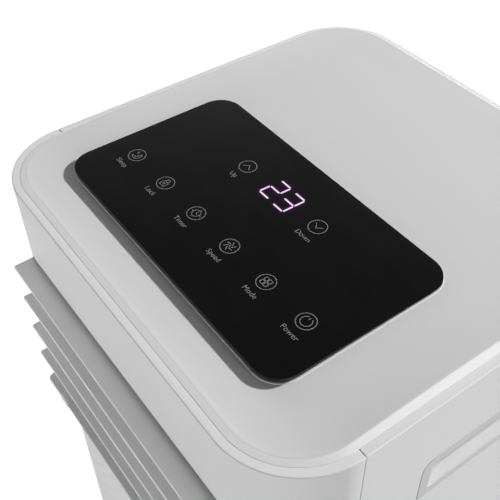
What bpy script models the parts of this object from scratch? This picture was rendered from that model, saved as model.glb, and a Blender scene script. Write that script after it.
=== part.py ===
"""Evaporative cooler: a white floor-standing cooler on casters, with a dished top, a black touch
panel, manual front louvres, a motor-driven set of swing vanes, a centrifugal fan, a wet pad
cassette at the back and a water tank that slides out.

Metres, +Z up. The origin is on the floor under the middle of the body. The front faces -Y.
Blender 4.5, run with: blender --background --python part.py
"""

import math

import bmesh
import bpy
from mathutils import Matrix, Vector

# Driving dimensions.
WIDTH = 0.330
DEPTH = 0.326
CORNER_RADIUS = 0.052
RIM_Z = 0.6962  # flat top edge of the shells
WALL = 0.003
GAP = 0.0003  # between pieces that touch
SLIDE_GAP = 0.0006  # round pieces that slide or turn

# Levels of the body.
BASE_Z = 0.044  # underside of the base tray
TRAY_TOP = 0.074
SPLIT_Z = 0.466  # joint between the lower front panel and the front shell
SEAM_Y = -DEPTH / 2 + 0.054  # joint between the front shells and the rear shell

# Top cover and control panel, heights above the rim.
RIM_STRIP = 0.0053
CREST_RISE = 0.0038
CREST_RUN = 0.0040
DISH_BANK = 0.030
BANK_TIGHTEN = 0.021  # how much the corner radius shrinks across the bank
FLOOR_FRONT = -0.0018
FLOOR_SLOPE = 0.0185  # rise of the dish floor per metre towards the back
GLASS_SIZE = (0.2329, 0.1316)
GLASS_CENTRE = (-0.0080, -0.0569)
GLASS_RADIUS = 0.017
GLASS_RISE = 0.0029
GLASS_THICK = 0.0012

# Air outlet, louvres and swing vanes.
OUTLET_TOP = RIM_Z - 0.0604
OUTLET_BOTTOM = RIM_Z - 0.2280
OUTLET_HALF = 0.1262
LOUVRE_COUNT = 5
LOUVRE_FIRST_Z = RIM_Z - 0.0670
LOUVRE_PITCH = 0.0320
LOUVRE_HALF = 0.1246
LOUVRE_PIVOT_Y = -0.1500
LOUVRE_TIP = 0.0270  # pivot to front edge
LOUVRE_TAIL = 0.0070  # pivot to back edge
LOUVRE_THICK = 0.0026
PIN_RADIUS = 0.0020
CRANK_REACH = 0.0120
CRANK_THICK = 0.0028
VANE_COUNT = 5
VANE_PITCH = 0.0440
VANE_Y = -0.1220
VANE_HALF_CHORD = 0.0170
VANE_LINK_REACH = 0.0120
VANE_LINK_Z = 0.501
FRAME_FRONT = -0.1570
FRAME_BACK = -0.0960
FRAME_BOTTOM = 0.4700
FRAME_TOP = 0.6430
FRAME_HALF = 0.1282

# Fan.
FAN_Z = 0.345
WHEEL_RADIUS = 0.088
WHEEL_BLADES = 20
SCROLL_START = 0.094
SCROLL_END = 0.118
SCROLL_FRONT = -0.070
SCROLL_BACK = 0.060
SCROLL_SPLIT = -0.005
SHAFT_RADIUS = 0.004

# Rear cassette and tank.
CASSETTE_HALF = 0.108
CASSETTE_LOW, CASSETTE_HIGH = 0.230, 0.610
TANK_HALF = 0.105
TANK_LOW, TANK_HIGH = 0.052, 0.205
TANK_FRONT, TANK_BACK = -0.062, 0.140
TANK_FACE_HALF = 0.1095
TANK_WALL = 0.0025
PORT_Z = 0.072  # water port between the tank and the pump
DRAIN_X, DRAIN_Z = -0.080, 0.068
FLOAT_X, FLOAT_Y, FLOAT_LOW = -0.080, -0.040, 0.064
WINDOW_LOW = (0.073, 0.075)  # level window's corners in x, z
WINDOW_HIGH = (0.087, 0.150)
PAD_FRONT, PAD_BACK = 0.108, 0.146
PAD_HALF = 0.100

# Side handles.
HANDLE_HALF = 0.060
HANDLE_TOP = RIM_Z - 0.0559
HANDLE_BOTTOM = RIM_Z - 0.0960

# Casters.
CASTER_X, CASTER_Y = 0.118, 0.115
CASTER_RADIUS = 0.018
CASTER_TRAIL = 0.013
CASTER_HALF_WIDTH = 0.0075

# Power cord.
CORD_RADIUS = 0.0026
CORD_Y = 0.1700
GLAND_X, GLAND_Z = 0.096, 0.218
PLUG_X, PLUG_TOP = -0.124, 0.6135
HOOK_X, HOOK_Z = 0.060, 0.655

BACK_Y = DEPTH / 2
FRONT_Y = -DEPTH / 2
SIDE_X = WIDTH / 2


# Scene and shape helpers.


def clear_scene():
    for obj in list(bpy.data.objects):
        bpy.data.objects.remove(obj, do_unlink=True)


def make_collection(name):
    collection = bpy.data.collections.new(name)
    bpy.context.scene.collection.children.link(collection)
    return collection


clear_scene()
PARTS = make_collection("evaporative_cooler")


def material(name, colour, roughness, metallic=0.0, alpha=1.0):
    """A Principled material, made once for each name."""
    if name in bpy.data.materials:
        return bpy.data.materials[name]
    made = bpy.data.materials.new(name)
    made.use_nodes = True
    shader = made.node_tree.nodes["Principled BSDF"]
    shader.inputs["Base Color"].default_value = (*colour, 1.0)
    shader.inputs["Roughness"].default_value = roughness
    shader.inputs["Metallic"].default_value = metallic
    shader.inputs["Alpha"].default_value = alpha
    return made


def white_plastic():
    return material("white_plastic", (0.80, 0.80, 0.80), 0.45)


def grey_plastic():
    return material("grey_plastic", (0.42, 0.43, 0.44), 0.55)


def dark_plastic():
    return material("dark_plastic", (0.03, 0.03, 0.035), 0.45)


def black_glass():
    return material("black_glass", (0.005, 0.005, 0.006), 0.08)


def steel():
    return material("steel", (0.60, 0.60, 0.62), 0.35, 1.0)


def clear_plastic():
    return material("clear_plastic", (0.75, 0.85, 0.92), 0.15, alpha=0.5)


def wet_pad():
    return material("wet_pad", (0.34, 0.24, 0.14), 0.9)


def black_rubber():
    return material("black_rubber", (0.02, 0.02, 0.02), 0.8)


def link(name, mesh):
    obj = bpy.data.objects.new(name, mesh)
    PARTS.objects.link(obj)
    return obj


def from_bmesh(name, bm):
    mesh = bpy.data.meshes.new(name)
    bm.to_mesh(mesh)
    bm.free()
    return link(name, mesh)


def bake(obj, weld=True):
    """Turns the object into the plain mesh that its curve or modifiers give."""
    bpy.context.view_layer.update()
    graph = bpy.context.evaluated_depsgraph_get()
    mesh = bpy.data.meshes.new_from_object(obj.evaluated_get(graph))
    if weld:
        bm = bmesh.new()
        bm.from_mesh(mesh)
        bmesh.ops.remove_doubles(bm, verts=bm.verts, dist=1e-6)
        bm.to_mesh(mesh)
        bm.free()
    baked = link(obj.name + "_baked", mesh)
    baked.matrix_world = obj.matrix_world.copy()
    name = obj.name
    bpy.data.objects.remove(obj, do_unlink=True)
    baked.name = name
    mesh.transform(baked.matrix_world)
    baked.matrix_world = Matrix.Identity(4)
    return baked


def evaluated_closed(obj):
    """Whether each edge of the evaluated mesh has two faces."""
    bpy.context.view_layer.update()
    evaluated = obj.evaluated_get(bpy.context.evaluated_depsgraph_get())
    bm = bmesh.new()
    bm.from_mesh(evaluated.to_mesh())
    closed = all(edge.is_manifold for edge in bm.edges)
    bm.free()
    evaluated.to_mesh_clear()
    return closed


def combine(body, operation, *tools):
    """Cuts the tools from the body, joins them to it, or keeps what they share."""
    for tool in tools:
        boolean = body.modifiers.new(operation.lower(), "BOOLEAN")
        boolean.operation = operation
        boolean.object = tool
        boolean.solver = "EXACT"
        if not evaluated_closed(body):
            boolean.solver = "MANIFOLD"
        body = bake(body, weld=False)
        bpy.data.objects.remove(tool, do_unlink=True)
    return body


def cut(body, *tools):
    return combine(body, "DIFFERENCE", *tools)


def join(body, *tools):
    return combine(body, "UNION", *tools)


def common(body, *tools):
    return combine(body, "INTERSECT", *tools)


def box(name, low, high, bevel=0.0):
    bm = bmesh.new()
    bmesh.ops.create_cube(bm, size=1.0)
    low, high = Vector(low), Vector(high)
    bmesh.ops.scale(bm, vec=high - low, verts=bm.verts)
    bmesh.ops.translate(bm, vec=(low + high) / 2, verts=bm.verts)
    obj = from_bmesh(name, bm)
    if not bevel:
        return obj
    edge = obj.modifiers.new("bevel", "BEVEL")
    edge.width = bevel
    edge.segments = 2
    return bake(obj)


def cylinder(name, radius, start, end, segments=24):
    start, end = Vector(start), Vector(end)
    axis = end - start
    bm = bmesh.new()
    bmesh.ops.create_cone(
        bm, cap_ends=True, segments=segments, radius1=radius, radius2=radius, depth=axis.length
    )
    turn = Vector((0, 0, 1)).rotation_difference(axis).to_matrix()
    bmesh.ops.rotate(bm, cent=(0, 0, 0), matrix=turn, verts=bm.verts)
    bmesh.ops.translate(bm, vec=(start + end) / 2, verts=bm.verts)
    return from_bmesh(name, bm)


def arc(centre, radius, start, end, steps):
    """Points along an arc, angles in degrees."""
    points = []
    for i in range(steps + 1):
        angle = math.radians(start + (end - start) * i / steps)
        points.append((centre[0] + radius * math.cos(angle), centre[1] + radius * math.sin(angle)))
    return points


def rounded_rect(width, depth, radius, centre=(0.0, 0.0), steps=6):
    half_x, half_y = width / 2 - radius, depth / 2 - radius
    points = []
    for quarter, (sx, sy) in enumerate(((1, 1), (-1, 1), (-1, -1), (1, -1))):
        corner = (centre[0] + sx * half_x, centre[1] + sy * half_y)
        points += arc(corner, radius, 90 * quarter, 90 * quarter + 90, steps)
    return points


def rectangle(width, depth, centre):
    x, y = centre
    return [
        (x + width / 2, y - depth / 2), (x + width / 2, y + depth / 2),
        (x - width / 2, y + depth / 2), (x - width / 2, y - depth / 2),
    ]


def body_outline(inset=0.0):
    return rounded_rect(WIDTH - 2 * inset, DEPTH - 2 * inset, CORNER_RADIUS - inset, steps=8)


AXIS_FRAMES = {  # columns: where the outline's first and second coordinates and its depth point
    "X": ((0, 1, 0), (0, 0, 1), (1, 0, 0)),
    "Y": ((1, 0, 0), (0, 0, 1), (0, -1, 0)),
    "Z": ((1, 0, 0), (0, 1, 0), (0, 0, 1)),
}


def prism(name, outlines, low, high, axis="Z"):
    """A flat outline, with any holes, that runs from low to high along an axis. Its outlines are
    in (y, z) for X, (x, z) for Y and (x, y) for Z."""
    curve = bpy.data.curves.new(name, "CURVE")
    curve.dimensions = "2D"
    curve.fill_mode = "BOTH"
    curve.extrude = (high - low) / 2
    for outline in outlines:
        spline = curve.splines.new("POLY")
        spline.points.add(len(outline) - 1)
        for point, (u, v) in zip(spline.points, outline):
            point.co = (u, v, 0, 1)
        spline.use_cyclic_u = True
    obj = link(name, curve)
    columns = Matrix(AXIS_FRAMES[axis]).transposed().to_4x4()
    middle = Vector(AXIS_FRAMES[axis][2]) * (high + low) / 2
    if axis == "Y":
        middle = -middle
    obj.matrix_world = Matrix.Translation(middle) @ columns
    return bake(obj)


def turned(name, profile, centre, axis=(0, 0, 1), segments=32, ring=False):
    """A profile of (radius, height) points, top to bottom on the outside, turned about an axis."""
    bm = bmesh.new()
    points = [bm.verts.new((radius, 0, height)) for radius, height in profile]
    for a, b in zip(points, points[1:]):
        bm.edges.new((a, b))
    if ring:
        bm.edges.new((points[-1], points[0]))
    obj = from_bmesh(name, bm)
    screw = obj.modifiers.new("screw", "SCREW")
    screw.axis = "Z"
    screw.steps = screw.render_steps = segments
    screw.use_merge_vertices = True
    screw.merge_threshold = 1e-5
    turn = Vector((0, 0, 1)).rotation_difference(Vector(axis)).to_matrix().to_4x4()
    obj.matrix_world = Matrix.Translation(centre) @ turn
    return bake(obj)


def tube(name, path, radius):
    """A round hose or cord through the points of a path."""
    curve = bpy.data.curves.new(name, "CURVE")
    curve.dimensions = "3D"
    curve.bevel_depth = radius
    curve.bevel_resolution = 1
    curve.use_fill_caps = True
    spline = curve.splines.new("POLY")
    spline.points.add(len(path) - 1)
    for point, place in zip(spline.points, path):
        point.co = (*place, 1)
    return bake(link(name, curve))


def smooth_path(corners, steps=6):
    """Points of a Catmull-Rom curve through the corners."""
    knots = [Vector(corner) for corner in corners]
    knots = [2 * knots[0] - knots[1]] + knots + [2 * knots[-1] - knots[-2]]
    path = []
    for a, b, c, d in zip(knots, knots[1:], knots[2:], knots[3:]):
        for i in range(steps):
            t = i / steps
            along = (c - a) * t + (2 * a - 5 * b + 4 * c - d) * t**2 + (3 * b - a - 3 * c + d) * t**3
            path.append(0.5 * (2 * b + along))
    return path + [knots[-2]]


def set_origin(obj, point):
    obj.data.transform(Matrix.Translation(-Vector(point)))
    obj.location = point
    return obj


def dress(obj, finish, smooth=True):
    obj.data.materials.clear()
    obj.data.materials.append(finish)
    if smooth:
        obj.data.shade_smooth()
        obj.data.set_sharp_from_angle(angle=math.radians(35))
    return obj


def copy_at(name, source, place):
    """A repeat of a piece, sharing its mesh."""
    obj = link(name, source.data)
    obj.location = place
    return obj


# Base and casters.


def make_base_tray():
    floor_top = BASE_Z + WALL
    tray = prism("base_tray", [body_outline()], BASE_Z, TRAY_TOP)
    tray = cut(tray, prism("well", [body_outline(WALL)], floor_top, TRAY_TOP + 0.01))
    plinth_half = 0.080
    plinth = rounded_rect(2 * plinth_half, 2 * plinth_half, 0.012, steps=4)
    tray = join(tray, prism("plinth", [plinth], BASE_Z - 0.006, BASE_Z + 0.001))
    stem_hole = 0.0054
    for x in (-CASTER_X, CASTER_X):
        for y in (-CASTER_Y, CASTER_Y):
            boss = cylinder("boss", 0.012, (x, y, BASE_Z + 0.001), (x, y, 0.064), 16)
            tray = join(tray, boss)
            hole = cylinder("hole", stem_hole, (x, y, BASE_Z - 0.01), (x, y, 0.060), 12)
            tray = cut(tray, hole)
    rail_x, rail_half = 0.092, 0.004
    for x in (-rail_x, rail_x):
        low = (x - rail_half, TANK_FRONT, floor_top - 0.001)
        high = (x + rail_half, 0.155, TANK_LOW - GAP)
        tray = join(tray, box("rail", low, high))
    notch_half = TANK_FACE_HALF + SLIDE_GAP
    low = (-notch_half, 0.150, TANK_LOW - SLIDE_GAP)
    tray = cut(tray, box("notch", low, (notch_half, BACK_Y + 0.01, TRAY_TOP + 0.01)))
    return dress(tray, white_plastic())


def make_casters():
    """Each caster is a fork that swivels about its stem, and a wheel on the fork's pin."""
    plate_top = BASE_Z - 0.0006
    cheek_gap = CASTER_HALF_WIDTH + 0.0007
    cheek_thick = 0.0026
    fork = cylinder("fork", 0.0165, (0, 0, 0.0385), (0, 0, plate_top), 20)
    fork = join(fork, cylinder("stem", 0.005, (0, 0, 0.040), (0, 0, 0.058), 12))
    cheek = [(-0.010, 0.040), (-0.010, 0.034), (0.006, 0.014)]
    cheek += arc((CASTER_TRAIL, CASTER_RADIUS), 0.006, 220, 380, 4)
    cheek += [(0.012, 0.040)]
    for side in (-1, 1):
        low, high = sorted((side * cheek_gap, side * (cheek_gap + cheek_thick)))
        fork = join(fork, prism("cheek", [cheek], low, high, "X"))
    reach = cheek_gap + cheek_thick / 2
    axle_at = (CASTER_TRAIL, CASTER_RADIUS)
    axle = cylinder("axle", 0.0025, (-reach, *axle_at), (reach, *axle_at), 12)
    fork = dress(join(fork, axle), grey_plastic())

    bore, rim, half = 0.0029, CASTER_RADIUS, CASTER_HALF_WIDTH
    profile = [
        (bore, half), (rim - 0.003, half), (rim, half - 0.003),
        (rim, 0.003 - half), (rim - 0.003, -half), (bore, -half),
    ]
    wheel = turned("wheel", profile, (0, 0, 0), (1, 0, 0), 24, ring=True)
    wheel = dress(wheel, black_rubber())
    for end, y in (("front", -CASTER_Y), ("rear", CASTER_Y)):
        for side, x in (("left", -CASTER_X), ("right", CASTER_X)):
            copy_at(f"caster_fork_{end}_{side}", fork, (x, y, 0))
            place = (x, y + CASTER_TRAIL, CASTER_RADIUS)
            copy_at(f"caster_wheel_{end}_{side}", wheel, place)
    bpy.data.objects.remove(fork, do_unlink=True)
    bpy.data.objects.remove(wheel, do_unlink=True)


# Shells.


def shell_ring(name, low):
    """The wall of the body from a level up to the rim, with the rim's inward strip."""
    ring = prism(name, [body_outline(), body_outline(WALL)], low, RIM_Z)
    strip = prism("strip", [body_outline(), body_outline(RIM_STRIP)], RIM_Z - 0.003, RIM_Z)
    return join(ring, strip)


def front_side(low, high):
    """Everything in front of the side seam, between two levels."""
    half = WIDTH
    return box("front_side", (-half, -half, low), (half, SEAM_Y - GAP, high))


def make_front_shell():
    shell = common(shell_ring("front_shell", SPLIT_Z), front_side(0, 1))
    middle = (OUTLET_TOP + OUTLET_BOTTOM) / 2
    height = OUTLET_TOP - OUTLET_BOTTOM
    outline = rounded_rect(2 * OUTLET_HALF, height, 0.004, (0, middle), steps=3)
    opening = prism("opening", [outline], FRONT_Y - 0.02, FRONT_Y + 0.03, "Y")
    return dress(cut(shell, opening), white_plastic())


def make_lower_front_panel():
    outlines = [body_outline(), body_outline(WALL)]
    panel = prism("lower_front_panel", outlines, TRAY_TOP + GAP, SPLIT_Z - 2 * GAP)
    return dress(common(panel, front_side(0, 1)), white_plastic())


def handle_outline(grow=0.0):
    """The side handle's outline in (y, z): round at the top corners, tighter at the bottom."""
    top_radius, bottom_radius = 0.010 + grow, 0.005 + grow
    half, top, bottom = HANDLE_HALF + grow, HANDLE_TOP + grow, HANDLE_BOTTOM - grow
    points = arc((half - top_radius, top - top_radius), top_radius, 0, 90, 5)
    points += arc((top_radius - half, top - top_radius), top_radius, 90, 180, 5)
    points += arc((bottom_radius - half, bottom + bottom_radius), bottom_radius, 180, 270, 4)
    points += arc((half - bottom_radius, bottom + bottom_radius), bottom_radius, 270, 360, 4)
    return points


def make_rear_shell():
    shell = shell_ring("rear_shell", TRAY_TOP + GAP)
    shell = common(shell, box("rear_side", (-1, SEAM_Y + GAP, 0), (1, 1, 1)))
    for side in (-1, 1):
        low, high = sorted((side * (SIDE_X - 0.02), side * (SIDE_X + 0.02)))
        shell = cut(shell, prism("handle", [handle_outline(2 * GAP)], low, high, "X"))
    opening = CASSETTE_HALF + 0.001
    low = (-opening, 0.150, CASSETTE_LOW - 0.001)
    high = (opening, 0.200, CASSETTE_HIGH + 0.001)
    shell = cut(shell, box("cassette_opening", low, high))
    half = TANK_FACE_HALF + SLIDE_GAP
    low = (-half, 0.150, TRAY_TOP - 0.01)
    shell = cut(shell, box("tank_opening", low, (half, 0.200, TANK_HIGH + 0.002)))
    start, end = (GLAND_X, 0.15, GLAND_Z), (GLAND_X, 0.20, GLAND_Z)
    gland = cylinder("gland", CORD_RADIUS + SLIDE_GAP, start, end, 16)
    return dress(cut(shell, gland), white_plastic())


def make_handles():
    """Each handle is a cup: a flush flange, and a pocket whose back slopes in towards the top."""
    lip, wall, depth = 0.006, 0.002, 0.026
    inner_half = HANDLE_HALF - lip
    low, high = HANDLE_BOTTOM + lip, HANDLE_TOP - lip
    for name, side in (("handle_left", -1), ("handle_right", 1)):
        span = sorted((side * (SIDE_X - 0.002), side * SIDE_X))
        cup = prism(name, [handle_outline()], *span, "X")
        deep = SIDE_X - depth
        outer = [
            (side * (SIDE_X - 0.001), low - wall), (side * (SIDE_X - 0.001), high + wall),
            (side * (deep - wall), high + wall), (side * (deep - wall), high - 0.006),
        ]
        well = [
            (side * (SIDE_X + 0.001), low), (side * (SIDE_X + 0.001), high),
            (side * deep, high), (side * deep, high - 0.005),
        ]
        edge = inner_half + wall
        cup = join(cup, prism("cup", [outer], -edge, edge, "Y"))
        cup = cut(cup, prism("well", [well], -inner_half, inner_half, "Y"))
        dress(cup, white_plastic())


# Top cover and control panel.


def floor_rise(y):
    """Height of the dish floor above the rim."""
    glass_front = GLASS_CENTRE[1] - GLASS_SIZE[1] / 2
    return FLOOR_FRONT + FLOOR_SLOPE * (y - glass_front)


def cover_ring(inset, radius, height, sink=0.0):
    """A closed ring of points. Height runs from 0, the crest's level, to 1, the dish floor."""
    outline = rounded_rect(WIDTH - 2 * inset, DEPTH - 2 * inset, radius, steps=8)
    points = []
    for x, y in outline:
        rise = CREST_RISE + (floor_rise(y) - CREST_RISE) * height
        points.append((x, y, RIM_Z + rise - sink))
    return points


def make_top_cover():
    edge = RIM_STRIP + GAP
    crest = edge + CREST_RUN
    radius = CORNER_RADIUS - crest
    rings = [cover_ring(edge, CORNER_RADIUS - edge, 0, CREST_RISE + 0.003)]
    rings.append(cover_ring(edge, CORNER_RADIUS - edge, 0, CREST_RISE))
    rings.append(cover_ring(crest, radius, 0))
    bank_steps = 4
    for i in range(1, bank_steps + 1):
        t = i / bank_steps
        fall = 1 - (1 - t) ** 1.9
        rings.append(cover_ring(crest + DISH_BANK * t, radius - BANK_TIGHTEN * t, fall))
    rings.append(cover_ring(crest + DISH_BANK, radius - BANK_TIGHTEN, 1, WALL))
    bm = bmesh.new()
    loops = [[bm.verts.new(point) for point in ring] for ring in rings]
    for lower, upper in zip(loops, loops[1:-1]):
        for i in range(len(lower)):
            j = (i + 1) % len(lower)
            bm.faces.new((lower[i], lower[j], upper[j], upper[i]))
    bm.faces.new(loops[-2])
    under = loops[-1]
    for i in range(len(under)):
        j = (i + 1) % len(under)
        bm.faces.new((under[i], under[j], loops[0][j], loops[0][i]))
    bm.faces.new(list(reversed(under)))
    bmesh.ops.recalc_face_normals(bm, faces=bm.faces)
    cover = from_bmesh("top_cover", bm)
    post_x, post_y = 0.090, 0.045
    for x in (-post_x, post_x):
        for y in (-post_y, post_y):
            place = (GLASS_CENTRE[0] + x, GLASS_CENTRE[1] + y)
            low, high = RIM_Z - 0.0130, RIM_Z + floor_rise(place[1]) - 0.001
            cover = join(cover, cylinder("post", 0.003, (*place, low), (*place, high), 12))
    return dress(cover, white_plastic())


def glass_outline(inset=0.0):
    width, depth = (side - 2 * inset for side in GLASS_SIZE)
    return rounded_rect(width, depth, GLASS_RADIUS - inset, GLASS_CENTRE, steps=6)


def make_control_panel():
    """A black wedge that levels the panel on the sloping dish, and the touch glass on it."""
    glass_top = RIM_Z + GLASS_RISE
    glass_bottom = glass_top - GLASS_THICK
    glass = prism("control_glass", [glass_outline()], glass_bottom, glass_top)
    edge = glass.modifiers.new("edge", "BEVEL")
    edge.width = 0.0004
    edge.segments = 1
    dress(bake(glass), black_glass())

    wedge_top = glass_bottom - GAP
    wedge = prism("control_base", [glass_outline(0.0006)], wedge_top - 0.001, wedge_top)
    for vertex in wedge.data.vertices:
        if vertex.co.z < wedge_top - GAP:
            vertex.co.z = RIM_Z + floor_rise(vertex.co.y) + GAP
    dress(wedge, dark_plastic())

    x, y = GLASS_CENTRE
    top = RIM_Z - 0.0130 - GAP
    board = box("control_board", (x - 0.1, y - 0.055, top - 0.0016), (x + 0.1, y + 0.055, top))
    low = (x - 0.030, y + 0.005, top - 0.0096)
    board = join(board, box("connector", low, (x + 0.010, y + 0.025, top - 0.001)))
    dress(board, material("circuit_board", (0.02, 0.18, 0.08), 0.4))


# Air outlet.


def louvre_levels():
    return [LOUVRE_FIRST_Z - i * LOUVRE_PITCH for i in range(LOUVRE_COUNT)]


def vane_places():
    first = -VANE_PITCH * (VANE_COUNT - 1) / 2
    return [first + i * VANE_PITCH for i in range(VANE_COUNT)]


def make_outlet_frame():
    low = (-FRAME_HALF, FRAME_FRONT, FRAME_BOTTOM)
    frame = box("outlet_frame", low, (FRAME_HALF, FRAME_BACK, FRAME_TOP))
    inner = FRAME_HALF - WALL
    low = (-inner, FRAME_FRONT - 0.01, FRAME_BOTTOM + WALL)
    frame = cut(frame, box("passage", low, (inner, FRAME_BACK + 0.01, FRAME_TOP - WALL)))
    hole = PIN_RADIUS + 0.0005
    for z in louvre_levels():
        ends = (-FRAME_HALF - 0.01, LOUVRE_PIVOT_Y, z), (FRAME_HALF + 0.01, LOUVRE_PIVOT_Y, z)
        frame = cut(frame, cylinder("pin_hole", hole, *ends, 10))
    for x in vane_places():
        ends = (x, VANE_Y, FRAME_BOTTOM - 0.01), (x, VANE_Y, FRAME_TOP + 0.01)
        frame = cut(frame, cylinder("pin_hole", hole, *ends, 10))
    return dress(frame, white_plastic())


def louvre_section():
    """A blade's section in (y, z) about its pivot: a thin plate with round edges."""
    nose, body = LOUVRE_THICK * 0.36, LOUVRE_THICK / 2
    points = arc((nose - LOUVRE_TIP, 0), nose, 90, 270, 4)
    points += [(-0.012, -body), (0.0, -body)]
    points += arc((LOUVRE_TAIL - nose, 0), nose, -90, 90, 3)
    return points + [(0.0, body), (-0.012, body)]


def make_louvre(name, with_tab=False):
    """A blade with its pins, and a crank outside the frame's left wall."""
    blade = prism(name, [louvre_section()], -LOUVRE_HALF, LOUVRE_HALF, "X")
    hub_x = -(FRAME_HALF + GAP)
    crank_thick = CRANK_THICK
    right = cylinder("pin", PIN_RADIUS, (LOUVRE_HALF - 0.004, 0, 0), (FRAME_HALF - GAP, 0, 0), 8)
    left_end = (hub_x - crank_thick / 2, 0, 0)
    left = cylinder("pin", PIN_RADIUS, left_end, (0.004 - LOUVRE_HALF, 0, 0), 8)
    arm = arc((0, 0), 0.0032, 90, 270, 4) + arc((CRANK_REACH, 0), 0.0026, 270, 450, 4)
    crank = prism("crank", [arm], hub_x - crank_thick, hub_x, "X")
    start = (hub_x - crank_thick - 0.0035, CRANK_REACH, 0)
    stud = cylinder("stud", 0.0014, start, (hub_x - crank_thick / 2, CRANK_REACH, 0), 8)
    blade = join(blade, right, left, crank, stud)
    if with_tab:
        left, right = -0.102, -0.090
        low, high = (left, -LOUVRE_TIP - 0.0001, -0.0048), (right, 0.006 - LOUVRE_TIP, 0.0018)
        eye_y, eye_z = 0.0022 - LOUVRE_TIP, -0.0028
        eye = cylinder("eye", 0.0012, (left - 1, eye_y, eye_z), (right + 1, eye_y, eye_z), 8)
        blade = join(blade, cut(box("tab", low, high), eye))
    return dress(blade, white_plastic())


def make_louvres():
    plain = make_louvre("louvre")
    tabbed = make_louvre("louvre_tabbed", with_tab=True)
    for i, z in enumerate(louvre_levels(), start=1):
        source = tabbed if i == LOUVRE_COUNT else plain
        copy_at(f"louvre_{i}", source, (0, LOUVRE_PIVOT_Y, z))
    bpy.data.objects.remove(plain, do_unlink=True)
    bpy.data.objects.remove(tabbed, do_unlink=True)

    stud_y = LOUVRE_PIVOT_Y + CRANK_REACH
    levels = louvre_levels()
    outline = arc((stud_y, levels[0]), 0.0032, 0, 180, 4)
    outline += arc((stud_y, levels[-1]), 0.0032, 180, 360, 4)
    outer = -(FRAME_HALF + GAP + CRANK_THICK + SLIDE_GAP)
    bar = prism("louvre_link", [outline], outer - 0.0024, outer, "X")
    for z in levels:
        bar = cut(bar, cylinder("eye", 0.0018, (outer - 0.01, stud_y, z), (0, stud_y, z), 8))
    set_origin(bar, (outer, stud_y, levels[0]))
    dress(bar, grey_plastic())


def make_vane(name, lower_pin):
    """A swing vane about its pins, notched at the back round the link that drives it."""
    low, high = FRAME_BOTTOM + WALL + 0.0015, FRAME_TOP - WALL - 0.0015
    half = 0.0010
    vane = box(name, (-half, -VANE_HALF_CHORD, low), (half, VANE_HALF_CHORD, high))
    pin_low = (0, 0, low - lower_pin)
    vane = join(vane, cylinder("pin", 0.0019, pin_low, (0, 0, high + 0.0040), 8))
    notch = (-0.01, VANE_LINK_REACH - 0.0068, VANE_LINK_Z - 0.0045)
    vane = cut(vane, box("notch", notch, (0.01, 0.03, VANE_LINK_Z + 0.0045)))
    ends = (0, VANE_LINK_REACH, VANE_LINK_Z - 0.0055), (0, VANE_LINK_REACH, VANE_LINK_Z + 0.0055)
    vane = join(vane, cylinder("stud", 0.0013, *ends, 8))
    return dress(vane, white_plastic())


def make_vanes():
    plain = make_vane("vane", 0.0040)
    driven = make_vane("vane_driven", 0.0120)
    for i, x in enumerate(vane_places(), start=1):
        source = driven if i == 3 else plain
        copy_at(f"vane_{i}", source, (x, VANE_Y, 0))
    bpy.data.objects.remove(plain, do_unlink=True)
    bpy.data.objects.remove(driven, do_unlink=True)

    reach = VANE_Y + VANE_LINK_REACH
    half_length = vane_places()[-1] + 0.006
    low = (-half_length, reach - 0.0036, VANE_LINK_Z - 0.0022)
    bar = box("vane_link", low, (half_length, reach + 0.0036, VANE_LINK_Z + 0.0022))
    for x in vane_places():
        bar = cut(bar, cylinder("eye", 0.0018, (x, reach, 0.4), (x, reach, 0.6), 10))
    set_origin(bar, (0, reach, VANE_LINK_Z))
    dress(bar, grey_plastic())

    top = FRAME_BOTTOM - GAP
    motor = cylinder("vane_motor", 0.014, (0, VANE_Y, top - 0.019), (0, VANE_Y, top), 28)
    low, high = (-0.021, VANE_Y - 0.0035, top - 0.003), (0.021, VANE_Y + 0.0035, top - 0.002)
    motor = join(motor, box("ears", low, high))
    motor = cut(motor, cylinder("socket", 0.0024, (0, VANE_Y, top - 0.011), (0, VANE_Y, 0.5), 16))
    dress(motor, steel())


def make_air_duct():
    """The box that leads the fan's air up and forward to the outlet frame."""
    half, front, back = FRAME_HALF, FRAME_BACK + GAP, SCROLL_BACK + 0.002
    wall = 0.0025
    duct = box("air_duct", (-half, front, FRAME_BOTTOM), (half, back, FRAME_TOP))
    low = (wall - half, front - 0.01, FRAME_BOTTOM + wall)
    duct = cut(duct, box("passage", low, (half - wall, back - wall, FRAME_TOP - wall)))
    low = (-SCROLL_END + wall, SCROLL_FRONT + wall, FRAME_BOTTOM - 0.01)
    high = (-wall, SCROLL_BACK - wall, FRAME_BOTTOM + 0.01)
    return dress(cut(duct, box("throat", low, high)), grey_plastic())


# Fan.


def scroll_outline(inset, top):
    """The scroll in (x, z): a spiral that opens from the tongue to the throat above it."""
    points = [(inset - SCROLL_END, top)]
    steps = 20
    for i in range(steps + 1):
        turn = i / steps
        radius = SCROLL_END + (SCROLL_START - SCROLL_END) * turn - inset
        angle = math.radians(180 + 270 * turn)
        points.append((radius * math.cos(angle), FAN_Z + radius * math.sin(angle)))
    return points + [(-inset, top)]


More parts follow.
